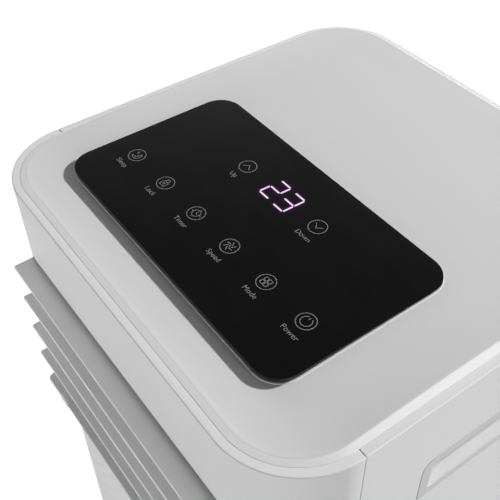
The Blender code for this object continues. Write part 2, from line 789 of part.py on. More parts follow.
def make_scroll():
    wall = 0.0025
    top = FRAME_BOTTOM - GAP
    mouth, collar = 0.060, 0.005
    spans = (
        ("scroll_front", SCROLL_FRONT, SCROLL_SPLIT - GAP),
        ("scroll_rear", SCROLL_SPLIT, SCROLL_BACK),
    )
    for name, front, back in spans:
        half = prism(name, [scroll_outline(0, top)], front, back, "Y")
        if name == "scroll_front":
            inner = front + wall, back + 0.01
        else:
            inner = front - 0.01, back - wall
        half = cut(half, prism("hollow", [scroll_outline(wall, top + 0.01)], *inner, "Y"))
        if name == "scroll_front":
            hole = cylinder("hole", 0.016, (0, front - 0.01, FAN_Z), (0, front + 0.01, FAN_Z))
        else:
            start, end = (0, back - 0.001, FAN_Z), (0, back + collar, FAN_Z)
            half = join(half, cylinder("collar", mouth + wall, start, end, 24))
            start, end = (0, back - 0.01, FAN_Z), (0, back + collar + 0.01, FAN_Z)
            hole = cylinder("hole", mouth, start, end, 24)
        dress(cut(half, hole), grey_plastic())


def make_fan():
    disc_back, ring_front = -0.062, 0.048
    start, end = (0, disc_back, FAN_Z), (0, disc_back + 0.002, FAN_Z)
    disc = cylinder("blower_wheel", WHEEL_RADIUS, start, end, 32)
    ring = [(WHEEL_RADIUS, 0.001), (WHEEL_RADIUS, -0.001), (0.070, -0.001), (0.070, 0.001)]
    ring = turned("ring", ring, (0, ring_front, FAN_Z), (0, 1, 0), 32, ring=True)
    blades = None
    for i in range(WHEEL_BLADES):
        turn = Matrix.Rotation(math.tau * i / WHEEL_BLADES, 2)
        outline = arc((0.079, -0.016), 0.0185, 66, 110, 3)
        outline += arc((0.079, -0.016), 0.0170, 110, 66, 3)
        placed = [turn @ Vector(point) for point in outline]
        placed = [(x, z + FAN_Z) for x, z in placed]
        blade = prism("blade", [placed], disc_back + 0.001, ring_front + 0.0005, "Y")
        if blades is None:
            blades = blade
            continue
        bm = bmesh.new()
        bm.from_mesh(blades.data)
        bm.from_mesh(blade.data)
        bm.to_mesh(blades.data)
        bm.free()
        bpy.data.objects.remove(blade, do_unlink=True)
    hub = cylinder("hub", 0.010, (0, disc_back - 0.004, FAN_Z), (0, -0.034, FAN_Z))
    bore = cylinder("bore", SHAFT_RADIUS + GAP, (0, -0.1, FAN_Z), (0, 0, FAN_Z), 16)
    wheel = join(cut(join(disc, hub), bore), blades, ring)
    set_origin(dress(wheel, dark_plastic()), (0, 0, FAN_Z))

    shaft = cylinder("fan_shaft", SHAFT_RADIUS, (0, -0.104, FAN_Z), (0, -0.030, FAN_Z), 16)
    set_origin(dress(shaft, steel()), (0, 0, FAN_Z))

    face = SCROLL_FRONT - GAP
    profile = [
        (0, face), (0.040, face), (0.040, face - 0.004), (0.034, face - 0.005),
        (0.034, -0.112), (0.028, -0.118), (0, -0.118),
    ]
    motor = turned("fan_motor", profile, (0, 0, FAN_Z), (0, 1, 0), 24)
    socket = cylinder("socket", SHAFT_RADIUS + SLIDE_GAP, (0, -0.108, FAN_Z), (0, 0, FAN_Z), 16)
    dress(cut(motor, socket), steel())


# Water side.


def make_tank():
    """The open tank that stands in the base, with a post that guides the float."""
    wall = TANK_WALL
    low, high = (-TANK_HALF, TANK_FRONT, TANK_LOW), (TANK_HALF, TANK_BACK, TANK_HIGH)
    tank = box("water_tank", low, high)
    low = (wall - TANK_HALF, TANK_FRONT + wall, TANK_LOW + wall)
    tank = cut(tank, box("hollow", low, (TANK_HALF - wall, TANK_BACK - wall, TANK_HIGH + 0.1)))
    start, end = (FLOAT_X, FLOAT_Y, TANK_LOW + 0.001), (FLOAT_X, FLOAT_Y, TANK_HIGH - 0.015)
    tank = join(tank, cylinder("post", 0.003, start, end, 12))
    bore, reach = 0.0065, 0.01
    start, end = (0, TANK_FRONT - reach, PORT_Z), (0, TANK_FRONT + reach, PORT_Z)
    port = cylinder("port", bore, start, end, 16)
    start, end = (DRAIN_X, TANK_BACK - reach, DRAIN_Z), (DRAIN_X, TANK_BACK + reach, DRAIN_Z)
    drain = cylinder("drain", bore, start, end, 16)
    dress(cut(tank, port, drain), clear_plastic())


def make_tank_face():
    """The tank's front, in the back of the body, with a grip, a level window and a drain."""
    wall = TANK_WALL
    face_front = TANK_BACK + GAP
    face_high = TANK_HIGH + 0.001
    low, high = (-TANK_FACE_HALF, BACK_Y - WALL, TANK_LOW), (TANK_FACE_HALF, BACK_Y, face_high)
    plate = box("tank_face", low, high)
    width, size_z = 2 * TANK_FACE_HALF, face_high - TANK_LOW
    centre = (0, (TANK_LOW + face_high) / 2)
    rim_outer = rounded_rect(width - 0.001, size_z - 0.001, 0.003, centre, steps=2)
    rim_inner = rounded_rect(width - 0.006, size_z - 0.006, 0.002, centre, steps=2)
    rim = prism("rim", [rim_outer, rim_inner], face_front, BACK_Y - 0.001, "Y")
    grip_half, grip_low, grip_high = 0.055, 0.160, 0.192
    low = (-grip_half - wall, face_front, grip_low - wall)
    cup = box("cup", low, (grip_half + wall, BACK_Y - 0.001, grip_high + wall))
    face = join(plate, rim, cup)
    low = (-grip_half, face_front + wall, grip_low)
    well = box("well", low, (grip_half, BACK_Y + 0.01, grip_high))
    low, high = (WINDOW_LOW[0], 0.150, WINDOW_LOW[1]), (WINDOW_HIGH[0], 0.170, WINDOW_HIGH[1])
    window = box("slot", low, high)
    hole = cylinder("hole", 0.0095, (DRAIN_X, 0.150, DRAIN_Z), (DRAIN_X, 0.170, DRAIN_Z), 20)
    dress(cut(face, well, window, hole), white_plastic())

    low = (WINDOW_LOW[0] + GAP, BACK_Y - WALL, WINDOW_LOW[1] + GAP)
    high = (WINDOW_HIGH[0] - GAP, BACK_Y, WINDOW_HIGH[1] - GAP)
    dress(box("level_window", low, high), clear_plastic())


def make_tank_fittings():
    head, stem = 0.0088, 0.0058
    head_back, head_front, stem_end = 0.166, 0.1615, 0.136
    profile = [
        (0, head_back), (head, head_back), (head, head_front),
        (stem, head_front), (stem, stem_end), (0, stem_end),
    ]
    plug = turned("drain_plug", profile, (DRAIN_X, 0, DRAIN_Z), (0, 1, 0), 20)
    slot_half = head - 0.002
    low = (DRAIN_X - slot_half, head_back - 0.0015, DRAIN_Z - 0.001)
    slot = box("coin_slot", low, (DRAIN_X + slot_half, head_back + 0.004, DRAIN_Z + 0.001))
    dress(cut(plug, slot), grey_plastic())

    profile = [
        (0, TANK_FRONT + 0.004), (0.0060, TANK_FRONT + 0.004), (0.0060, TANK_FRONT - GAP),
        (0.0090, TANK_FRONT - GAP), (0.0090, TANK_FRONT - 0.003), (0.0055, TANK_FRONT - 0.004),
        (0.0055, TANK_FRONT - 0.012), (0, TANK_FRONT - 0.012),
    ]
    dress(turned("tank_valve", profile, (0, 0, PORT_Z), (0, 1, 0), 20), grey_plastic())

    low, high = (-0.060, 0.020, TANK_LOW + TANK_WALL + GAP), (0.060, 0.110, 0.085)
    dress(box("ice_pack", low, high, 0.004), material("ice_pack_blue", (0.10, 0.35, 0.75), 0.3))

    outer, bore, high = 0.011, 0.0036, FLOAT_LOW + 0.014
    profile = [(outer, high), (outer, FLOAT_LOW), (bore, FLOAT_LOW), (bore, high)]
    ring = turned("float", profile, (FLOAT_X, FLOAT_Y, 0), (0, 0, 1), 20, ring=True)
    set_origin(dress(ring, dark_plastic()), (FLOAT_X, FLOAT_Y, FLOAT_LOW))


def make_pump():
    low, high = (-0.028, -0.125, BASE_Z + WALL + GAP), (0.028, -0.076, 0.098)
    pump = box("pump", low, high, 0.003)
    outlet_x, outlet_y, outlet_top = -0.016, -0.100, 0.110
    start, end = (outlet_x, outlet_y, 0.095), (outlet_x, outlet_y, outlet_top)
    pump = join(pump, cylinder("outlet", 0.0050, start, end, 16))
    inlet = cylinder("inlet", 0.0062, (0, -0.088, PORT_Z), (0, -0.070, PORT_Z), 16)
    dress(cut(pump, inlet), dark_plastic())

    rise_x, rise_y = -0.150, 0.095
    corners = [
        (outlet_x, outlet_y, outlet_top + 0.0015), (outlet_x, outlet_y, 0.135),
        (-0.050, -0.112, 0.175), (-0.110, -0.110, 0.204), (-0.146, -0.070, 0.216),
        (rise_x, 0.000, 0.216), (rise_x, 0.070, 0.218), (rise_x, rise_y, 0.245),
        (rise_x, rise_y, 0.350), (rise_x, rise_y, 0.480), (rise_x, rise_y, 0.590),
        (-0.140, 0.108, 0.622), (-0.120, 0.126, 0.627), (-0.1015, 0.127, 0.627),
    ]
    hose = tube("supply_hose", smooth_path(corners, 2), 0.0042)
    dress(hose, material("hose", (0.70, 0.72, 0.72), 0.3))


def open_box(name, low, high, wall):
    """A tray with an open top."""
    tray = box(name, low, high)
    inner_low = Vector(low) + Vector((wall, wall, wall))
    inner_high = Vector(high) + Vector((-wall, -wall, 0.01))
    return cut(tray, box("well", inner_low, inner_high))


def make_trays():
    """The tray that drips water on the pad, and the one that catches what runs through it."""
    wall = 0.002
    low, high = 0.616, 0.636
    tray = open_box("water_tray", (-PAD_HALF, PAD_FRONT, low), (PAD_HALF, PAD_BACK, high), wall)
    middle = (PAD_FRONT + PAD_BACK) / 2
    holes, pitch = 5, 0.040
    for i in range(holes):
        x = (i - (holes - 1) / 2) * pitch
        drip = cylinder("drip", 0.0015, (x, middle, low - 0.006), (x, middle, low + 0.004), 8)
        tray = cut(tray, drip)
    dress(tray, grey_plastic())

    low, high, spout_y = 0.2125, 0.2265, 0.120
    tray = open_box("drip_tray", (-0.102, 0.100, low), (0.102, 0.152, high), wall)
    start, end = (0, spout_y, low - 0.0035), (0, spout_y, low + 0.001)
    tray = join(tray, cylinder("spout", 0.009, start, end, 20))
    start, end = (0, spout_y, low - 0.01), (0, spout_y, low + 0.01)
    dress(cut(tray, cylinder("hole", 0.007, start, end, 20)), grey_plastic())


def make_cassette():
    """Grille, dust filter, pad frame and wet pad, which pull out of the back together."""
    half, low, high = CASSETTE_HALF, CASSETTE_LOW, CASSETTE_HIGH
    front = 0.1532
    middle, size_z = (low + high) / 2, high - low
    outer = rounded_rect(2 * half, size_z, 0.006, (0, middle), steps=3)
    grille = prism("rear_grille", [outer], BACK_Y - WALL, BACK_Y + 0.002, "Y")
    wall_outer = rounded_rect(2 * half - 0.002, size_z - 0.002, 0.005, (0, middle), steps=3)
    wall_inner = rounded_rect(2 * half - 0.007, size_z - 0.007, 0.0025, (0, middle), steps=3)
    grille = join(grille, prism("wall", [wall_outer, wall_inner], front, BACK_Y, "Y"))
    rows, columns, margin = 18, 3, 0.010
    pitch_z = (size_z - 2 * margin) / rows
    pitch_x = (2 * half - 2 * margin) / columns
    slot_x, slot_z = pitch_x - 0.004, pitch_z - 0.0045
    slots = []
    for row in range(rows):
        z = low + margin + pitch_z * (row + 0.5)
        for column in range(columns):
            x = margin - half + pitch_x * (column + 0.5)
            slots.append(rectangle(slot_x, slot_z, (x, z)))
    grille = cut(grille, prism("slots", slots, BACK_Y - 0.02, BACK_Y + 0.02, "Y"))
    dress(grille, white_plastic())

    margin = 0.004
    outer = rounded_rect(2 * half - 0.009, size_z - 0.009, 0.002, (0, middle), steps=1)
    windows = []
    for row in range(4):
        for column in range(2):
            size = (half - 0.010, size_z / 4 - 0.008)
            x = (column - 0.5) * (half - 0.006)
            z = low + size_z * (row + 0.5) / 4
            windows.append(rectangle(size[0], size[1] - margin, (x, z)))
    filter_frame = prism("dust_filter", [outer, *windows], front - 0.001, front + 0.002, "Y")
    dress(filter_frame, grey_plastic())

    pad_half_z, clearance, ring_thick = 0.184, 0.0005, 0.0035
    inner_x, inner_z = PAD_HALF + clearance, pad_half_z + clearance
    inner = rounded_rect(2 * inner_x, 2 * inner_z, 0.001, (0, middle), steps=1)
    outer_x, outer_z = inner_x + ring_thick, inner_z + ring_thick
    outer = rounded_rect(2 * outer_x, 2 * outer_z, 0.003, (0, middle), steps=1)
    ring = prism("pad_frame", [outer, inner], PAD_FRONT - 0.002, PAD_BACK + 0.0055, "Y")
    dress(ring, grey_plastic())
    low, high = (-PAD_HALF, PAD_FRONT, middle - pad_half_z), (PAD_HALF, PAD_BACK, middle + pad_half_z)
    dress(box("cooling_pad", low, high), wet_pad(), smooth=False)


# Electrics.


def make_power_box():
    low, high = (0.045, -0.156, 0.250), (0.108, -0.123, 0.420)
    dress(box("power_box", low, high, 0.002), grey_plastic())


def make_hook(name, x):
    """A cleat for the cord: a stem on a thin foot, with a plate on its end."""
    start, end = BACK_Y + GAP, 0.1770
    stem_x, stem_z = 0.005, 0.011
    low, high = (x - stem_x, start, HOOK_Z - stem_z), (x + stem_x, end - 0.0005, HOOK_Z + stem_z)
    stem = box(name, low, high)
    side = 1 if x > 0 else -1
    tip = sorted((x - side * 0.006, x + side * 0.026))
    plate_z = 0.016
    low, high = (tip[0], end - 0.0018, HOOK_Z - plate_z), (tip[1], end, HOOK_Z + plate_z)
    plate = box("plate", low, high)
    foot_x, foot_z = 0.010, 0.015
    low, high = (x - foot_x, start, HOOK_Z - foot_z), (x + foot_x, start + 0.0008, HOOK_Z + foot_z)
    dress(join(stem, plate, box("foot", low, high)), white_plastic())


def make_cord():
    """The cord leaves low on the back, rises beside the cassette and winds round the hooks."""
    inner_y, outer_y = 0.1670, 0.1723
    wind = 0.0165
    rise_x = 0.124
    rise = [
        (GLAND_X, 0.154, GLAND_Z), (GLAND_X, 0.164, GLAND_Z), (0.103, 0.1695, GLAND_Z),
        (0.118, CORD_Y, 0.222), (rise_x, CORD_Y, 0.238), (rise_x, CORD_Y, 0.340),
        (rise_x, CORD_Y, 0.500), (rise_x, 0.1695, 0.600), (0.112, inner_y, 0.630),
        (0.088, inner_y, 0.640),
    ]
    path = smooth_path(rise, 2)

    def turn(centre_x, start, end, y):
        for x, z in arc((centre_x, HOOK_Z), wind, start, end, 6):
            path.append(Vector((x, y, z)))

    turn(HOOK_X, 0, 90, inner_y)
    turn(-HOOK_X, 90, 270, inner_y)
    turn(HOOK_X, 270, 450, outer_y)
    turn(-HOOK_X, 90, 200, outer_y)
    tail = [
        (-0.084, 0.1718, 0.640), (-0.102, 0.1706, 0.634), (-0.118, CORD_Y, 0.628),
        (PLUG_X + 0.0004, CORD_Y, 0.620), (PLUG_X, CORD_Y, PLUG_TOP + 0.0007),
    ]
    path += [Vector(place) for place in tail]
    dress(tube("power_cord", path, CORD_RADIUS), black_rubber())


def make_plug():
    sleeve = 0.0060
    profile = [(0, PLUG_TOP), (0.0045, PLUG_TOP), (sleeve, 0.600), (sleeve, 0.596), (0, 0.596)]
    plug = turned("power_plug", profile, (PLUG_X, CORD_Y, 0), (0, 0, 1), 16)
    low, high = (PLUG_X - 0.013, CORD_Y - 0.006, 0.570), (PLUG_X + 0.013, CORD_Y + 0.006, 0.598)
    plug = join(plug, box("body", low, high, 0.002))
    pin_offset = 0.0095
    for x in (PLUG_X - pin_offset, PLUG_X + pin_offset):
        plug = join(plug, cylinder("pin", 0.0022, (x, CORD_Y, 0.552), (x, CORD_Y, 0.572), 12))
    dress(plug, black_rubber())


def build():
    make_base_tray()
    make_casters()
    make_front_shell()
    make_lower_front_panel()
    make_rear_shell()
    make_handles()
    make_top_cover()
    make_control_panel()
    make_outlet_frame()
    make_louvres()
    make_vanes()
    make_air_duct()
    make_scroll()
    make_fan()
    make_tank()
    make_tank_face()
    make_tank_fittings()
    make_pump()
    make_trays()
    make_cassette()
    make_power_box()
    make_hook("cord_hook_left", -HOOK_X)
    make_hook("cord_hook_right", HOOK_X)
    make_cord()
    make_plug()


build()
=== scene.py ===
"""Looks of the evaporative cooler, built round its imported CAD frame. Metres, +Z up, front at -Y."""

import math

import bmesh
import bpy
from mathutils import Matrix, Vector


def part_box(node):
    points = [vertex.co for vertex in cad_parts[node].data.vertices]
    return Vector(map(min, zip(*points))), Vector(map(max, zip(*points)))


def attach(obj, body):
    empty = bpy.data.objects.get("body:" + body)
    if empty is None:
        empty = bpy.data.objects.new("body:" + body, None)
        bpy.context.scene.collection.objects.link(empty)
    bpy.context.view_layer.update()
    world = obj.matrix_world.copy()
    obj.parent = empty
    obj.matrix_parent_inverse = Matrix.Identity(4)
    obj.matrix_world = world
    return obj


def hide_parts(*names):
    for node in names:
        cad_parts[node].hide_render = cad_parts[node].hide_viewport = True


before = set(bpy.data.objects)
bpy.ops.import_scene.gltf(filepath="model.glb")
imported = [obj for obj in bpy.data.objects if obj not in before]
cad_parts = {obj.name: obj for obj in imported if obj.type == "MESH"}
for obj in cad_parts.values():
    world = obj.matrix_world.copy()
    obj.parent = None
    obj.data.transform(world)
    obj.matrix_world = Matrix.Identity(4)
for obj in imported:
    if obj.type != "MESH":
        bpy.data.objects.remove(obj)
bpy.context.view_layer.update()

# Sizes read from the frame.
REAR_LOW, REAR_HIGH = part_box("rear_shell")
FRONT_LOW, FRONT_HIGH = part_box("front_shell")
GLASS_LOW, GLASS_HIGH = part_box("control_glass")
COVER_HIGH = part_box("top_cover")[1]
SIDE_X = REAR_HIGH.x
BACK_Y = REAR_HIGH.y
FRONT_Y = FRONT_LOW.y
RIM_Z = REAR_HIGH.z
SPLIT_Z = FRONT_LOW.z
TRAY_LOW, TRAY_TOP = (corner.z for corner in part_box("base_tray"))
OUTLET_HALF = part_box("outlet_frame")[1].x
HANDLE_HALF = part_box("handle_right")[1].y
SEAM_REAR = REAR_LOW.y
SEAM_FRONT = FRONT_HIGH.y
WIDTH = 2 * SIDE_X
DEPTH = 2 * BACK_Y
COVER_EDGE = SIDE_X - COVER_HIGH.x

# Sizes shared with the CAD design.
CORNER_RADIUS = 0.052
WALL = 0.003
GAP = 0.0003
BASE_Z = 0.044
HANDLE_TOP, HANDLE_BOTTOM = RIM_Z - 0.0559, RIM_Z - 0.0960
LOUVRES, LOUVRE_PITCH = 5, 0.032
LOUVRE_Y, LOUVRE_TOP = -0.150, RIM_Z - 0.067  # the pivots
GLASS_RADIUS = 0.017
EDGE_ROUND = 0.0008  # usual rounding of a moulded edge


# Meshes and modifiers.


def link(name, data):
    obj = bpy.data.objects.new(name, data)
    bpy.context.scene.collection.objects.link(obj)
    return obj


def from_bmesh(name, bm):
    mesh = bpy.data.meshes.new(name)
    bmesh.ops.recalc_face_normals(bm, faces=bm.faces)
    bm.to_mesh(mesh)
    bm.free()
    return link(name, mesh)


def bake(obj):
    """Replaces a curve or a mesh with modifiers by the plain mesh that it gives."""
    bpy.context.view_layer.update()
    graph = bpy.context.evaluated_depsgraph_get()
    mesh = bpy.data.meshes.new_from_object(obj.evaluated_get(graph))
    mesh.transform(obj.matrix_world)
    name = obj.name
    bpy.data.objects.remove(obj, do_unlink=True)
    bm = bmesh.new()
    bm.from_mesh(mesh)
    bmesh.ops.remove_doubles(bm, verts=bm.verts, dist=1e-6)
    bm.to_mesh(mesh)
    bm.free()
    mesh.name = name
    return link(name, mesh)


def combine(body, operation, *tools):
    for tool in tools:
        boolean = body.modifiers.new("boolean", "BOOLEAN")
        boolean.operation = operation
        boolean.object = tool
        boolean.solver = "EXACT"
        body = bake(body)
        bpy.data.objects.remove(tool, do_unlink=True)
    return body


def cut(body, *tools):
    return combine(body, "DIFFERENCE", *tools)


def join(body, *tools):
    return combine(body, "UNION", *tools)


def bevel(obj, width, segments, angle):
    edge = obj.modifiers.new("edge", "BEVEL")
    edge.width, edge.segments = width, segments
    edge.limit_method, edge.angle_limit = "ANGLE", math.radians(angle)
    return edge


def rounded(obj, width=EDGE_ROUND, segments=3, angle=38):
    """Rounds the sharp edges, then bakes."""
    bevel(obj, width, segments, angle).miter_outer = "MITER_ARC"
    return bake(obj)


def box(name, low, high):
    bm = bmesh.new()
    bmesh.ops.create_cube(bm, size=1.0)
    low, high = Vector(low), Vector(high)
    bmesh.ops.scale(bm, vec=high - low, verts=bm.verts)
    bmesh.ops.translate(bm, vec=(low + high) / 2, verts=bm.verts)
    return from_bmesh(name, bm)


def slab(name, outline, low, high, axis="Y"):
    """A prism on a rounded rectangle: its width, height, corner radius, centre and steps."""
    return prism(name, [rounded_rect(*outline)], low, high, axis)


def cylinder(name, radius, start, end, segments=48):
    start, end = Vector(start), Vector(end)
    axis = end - start
    bm = bmesh.new()
    bmesh.ops.create_cone(
        bm, cap_ends=True, segments=segments, radius1=radius, radius2=radius, depth=axis.length
    )
    turn = Vector((0, 0, 1)).rotation_difference(axis).to_matrix()
    bmesh.ops.rotate(bm, cent=(0, 0, 0), matrix=turn, verts=bm.verts)
    bmesh.ops.translate(bm, vec=(start + end) / 2, verts=bm.verts)
    return from_bmesh(name, bm)


def arc(centre, radius, start, end, steps):
    """Points along an arc, angles in degrees."""
    points = []
    for i in range(steps + 1):
        angle = math.radians(start + (end - start) * i / steps)
        points.append((centre[0] + radius * math.cos(angle), centre[1] + radius * math.sin(angle)))
    return points


def rounded_rect(width, depth, radius, centre=(0.0, 0.0), steps=8):
    half_x, half_y = width / 2 - radius, depth / 2 - radius
    points = []
    for quarter, (sx, sy) in enumerate(((1, 1), (-1, 1), (-1, -1), (1, -1))):
        corner = (centre[0] + sx * half_x, centre[1] + sy * half_y)
        points += arc(corner, radius, 90 * quarter, 90 * quarter + 90, steps)
    return points


def body_outline(inset=0.0, steps=24):
    return rounded_rect(WIDTH - 2 * inset, DEPTH - 2 * inset, CORNER_RADIUS - inset, steps=steps)


AXIS_FRAMES = {  # columns: where the outline's first and second coordinates and its depth point
    "X": ((0, 1, 0), (0, 0, 1), (1, 0, 0)),
    "Y": ((1, 0, 0), (0, 0, 1), (0, -1, 0)),
    "Z": ((1, 0, 0), (0, 1, 0), (0, 0, 1)),
}


def prism(name, outlines, low, high, axis="Z"):
    """A flat outline, with any holes, that runs from low to high along an axis. Its outlines are
    in (y, z) for X, (x, z) for Y and (x, y) for Z."""
    curve = bpy.data.curves.new(name, "CURVE")
    curve.dimensions = "2D"
    curve.fill_mode = "BOTH"
    curve.extrude = (high - low) / 2
    for outline in outlines:
        spline = curve.splines.new("POLY")
        spline.points.add(len(outline) - 1)
        for point, (u, v) in zip(spline.points, outline):
            point.co = (u, v, 0, 1)
        spline.use_cyclic_u = True
    obj = link(name, curve)
    columns = Matrix(AXIS_FRAMES[axis]).transposed().to_4x4()
    middle = Vector(AXIS_FRAMES[axis][2]) * (high + low) / 2
    if axis == "Y":
        middle = -middle
    obj.matrix_world = Matrix.Translation(middle) @ columns
    return bake(obj)


def turned(name, profile, centre, axis=(0, 0, 1), segments=64, ring=False):
    """A profile of (radius, height) points turned about an axis through centre. It is closed on
    itself, as a ring, or it starts and ends on the axis."""
    last = 360 * (segments - 1) / segments
    rings = []
    for radius, height in profile:
        rings.append([(x, y, height) for x, y in arc((0, 0), radius, 0, last, segments - 1)])
    obj = loft(name, rings, wrap=ring)
    turn = Vector((0, 0, 1)).rotation_difference(Vector(axis)).to_matrix().to_4x4()
    bm = bmesh.new()
    bm.from_mesh(obj.data)
    bmesh.ops.remove_doubles(bm, verts=bm.verts, dist=1e-7)
    bm.transform(Matrix.Translation(centre) @ turn)
    bm.to_mesh(obj.data)
    bm.free()
    return obj


def skin(bm, loops, closed=True):
    """Fills the quads between rows of vertices, from each row to the next."""
    for lower, upper in zip(loops, loops[1:]):
        for i in range(len(lower) if closed else len(lower) - 1):
            j = (i + 1) % len(lower)
            bm.faces.new((lower[i], lower[j], upper[j], upper[i]))


def loft(name, rings, wrap=False):
    """Skins equal closed rings of points, one to the next, and caps the ends unless they wrap."""
    bm = bmesh.new()
    loops = [[bm.verts.new(point) for point in ring] for ring in rings]
    skin(bm, loops + loops[:1] if wrap else loops)
    if not wrap:
        bm.faces.new(loops[0][::-1])
        bm.faces.new(loops[-1])
    return from_bmesh(name, bm)


def tube(name, path, radius, cyclic=False):
    curve = bpy.data.curves.new(name, "CURVE")
    curve.dimensions = "3D"
    curve.bevel_depth = radius
    curve.bevel_resolution = 4
    curve.use_fill_caps = True
    spline = curve.splines.new("POLY")
    spline.points.add(len(path) - 1)
    for point, place in zip(spline.points, path):
        point.co = (*place, 1)
    spline.use_cyclic_u = cyclic
    return bake(link(name, curve))


def smooth_path(corners, steps=8):
    """Points of a Catmull-Rom curve through the corners."""
    knots = [Vector(corner) for corner in corners]
    knots = [2 * knots[0] - knots[1]] + knots + [2 * knots[-1] - knots[-2]]
    path = []
    for a, b, c, d in zip(knots, knots[1:], knots[2:], knots[3:]):
        for i in range(steps):
            t = i / steps
            along = (c - a) * t + (2 * a - 5 * b + 4 * c - d) * t**2 + (3 * b - a - 3 * c + d) * t**3
            path.append(0.5 * (2 * b + along))
    return path + [knots[-2]]


def merged(name, objects):
    """One object that holds several loose pieces."""
    bm = bmesh.new()
    for obj in objects:
        bm.from_mesh(obj.data)
        bpy.data.objects.remove(obj, do_unlink=True)
    mesh = bpy.data.meshes.new(name)
    bm.to_mesh(mesh)
    bm.free()
    return link(name, mesh)


def ease(t):
    t = min(1.0, max(0.0, t))
    return t * t * (3 - 2 * t)


# Materials. Each is a node tree over object coordinates, so patterns are in metres.


class Nodes:
    """A small helper that adds and joins shader nodes."""

    def __init__(self, name):
        self.material = bpy.data.materials.new(name)
        self.material.use_nodes = True
        self.tree = self.material.node_tree
        self.shader = self.tree.nodes["Principled BSDF"]
        self.place = self.add("ShaderNodeTexCoord").outputs["Object"]

    def add(self, kind, **inputs):
        node = self.tree.nodes.new(kind)
        for key, value in inputs.items():
            self.feed(node, key, value)
        return node

    def feed(self, node, key, value):
        socket = node.inputs[key.replace("_", " ")] if isinstance(key, str) else node.inputs[key]
        if isinstance(value, bpy.types.NodeSocket):
            self.tree.links.new(value, socket)
        else:
            socket.default_value = value

    def noise(self, size, detail=2.0, stretch=None):
        """Noise from 0 to 1, with features of about the given size."""
        place = self.place
        if stretch:
            mapping = self.add("ShaderNodeMapping", Vector=place, Scale=stretch)
            place = mapping.outputs["Vector"]
        made = self.add("ShaderNodeTexNoise", Vector=place, Scale=1 / size, Detail=detail)
        return made.outputs["Fac"]

    def math(self, operation, a, b=0.0, c=0.0):
        node = self.tree.nodes.new("ShaderNodeMath")
        node.operation = operation
        for i, value in enumerate((a, b, c)):
            self.feed(node, i, value)
        return node.outputs["Value"]

    def spread(self, value, low, high, start=0.3, end=0.7):
        """Maps start..end of a value to low..high."""
        node = self.add("ShaderNodeMapRange", Value=value)
        for i, bound in enumerate((start, end, low, high), start=1):
            node.inputs[i].default_value = bound
        return node.outputs["Result"]

    def mix(self, factor, a, b):
        node = self.tree.nodes.new("ShaderNodeMix")
        node.data_type = "RGBA"
        self.feed(node, 0, factor)
        for i, value in ((6, a), (7, b)):
            self.feed(node, i, value if isinstance(value, bpy.types.NodeSocket) else (*value, 1))
        return node.outputs[2]

    def bump(self, height, distance, strength=1.0, under=None):
        node = self.add("ShaderNodeBump", Height=height, Distance=distance, Strength=strength)
        if under is not None:
            self.feed(node, "Normal", under)
        return node.outputs["Normal"]

    def set(self, **inputs):
        for key, value in inputs.items():
            self.feed(self.shader, key, value)
        return self.material


def moulded(name, colour, roughness, grain=0.0004, depth=0.00001, mottle=0.03):
    """Moulded plastic: fine spark-eroded grain, faint shade changes and slightly polished edges."""
    n = Nodes(name)
    dark = tuple(c * (1 - mottle) for c in colour)
    base = n.mix(n.spread(n.noise(0.06, 3), 0, 1), dark, colour)
    speck = n.spread(n.noise(0.0025, 2), 0, 0.5, 0.62, 0.74)
    base = n.mix(speck, base, tuple(c * (1 - 2 * mottle) for c in colour))
    pale = tuple(min(1.0, c * 1.06 + 0.01) for c in colour)
    edge = n.spread(n.add("ShaderNodeNewGeometry").outputs["Pointiness"], 0, 1, 0.53, 0.62)
    base = n.mix(n.math("MULTIPLY", edge, 0.5), base, pale)
    rough = n.spread(n.noise(0.02, 4), roughness - 0.04, roughness + 0.05)
    rough = n.math("SUBTRACT", rough, n.math("MULTIPLY", edge, 0.05))
    grains = n.bump(n.noise(grain, 2), depth, 0.6)
    waves = n.bump(n.noise(0.03, 1), 0.00012, 0.25, grains)
    return n.set(Base_Color=base, Roughness=rough, Normal=waves)


def patterned(name, tint, colours, rough, bump, **inputs):
    """A material from noise. Tint and rough are each a noise and the range it is spread over, for
    the mix of the colours and for the roughness. Bump is a noise, its depth and its strength."""
    n = Nodes(name)
    return n.set(
        Base_Color=n.mix(n.spread(n.noise(*tint[0]), *tint[1]), *colours),
        Roughness=n.spread(n.noise(*rough[0]), *rough[1]),
        Normal=n.bump(n.noise(*bump[0]), *bump[1:]), **inputs,
    )


def rubber(name, colour):
    return patterned(
        name, ((0.008, 5), (0, 0.35, 0.45, 0.8)), (colour, tuple(c + 0.06 for c in colour)),
        ((0.004, 3), (0.62, 0.85)), ((0.0006, 3), 0.00004, 0.7),
    )


def clear(name, colour, roughness):
    """Milky clear plastic with flow lines."""
    flow = (0.02, 3, (1, 1, 0.3))
    return patterned(
        name, (flow, (0, 1)), (colour, tuple(c * 0.93 for c in colour)),
        (flow, (roughness, roughness + 0.10)), ((0.003, 2), 0.00002, 0.4),
        Transmission_Weight=0.85, IOR=1.46,
    )


def honeycomb_paper():
    """Kraft paper stiffened with resin: fibres, and darker water stains low down."""
    n = Nodes("honeycomb_paper")
    fibres = n.noise(0.0012, 5, (1, 0.25, 1))
    stains = n.spread(n.noise(0.05, 4), 0, 1, 0.42, 0.68)
    dry = n.mix(n.spread(fibres, 0, 1), (0.33, 0.215, 0.115), (0.45, 0.315, 0.18))
    base = n.mix(n.math("MULTIPLY", stains, 0.55), dry, (0.20, 0.115, 0.055))
    return n.set(
        Base_Color=base, Roughness=n.spread(fibres, 0.75, 0.95),
        Normal=n.bump(fibres, 0.0002, 0.6),
    )


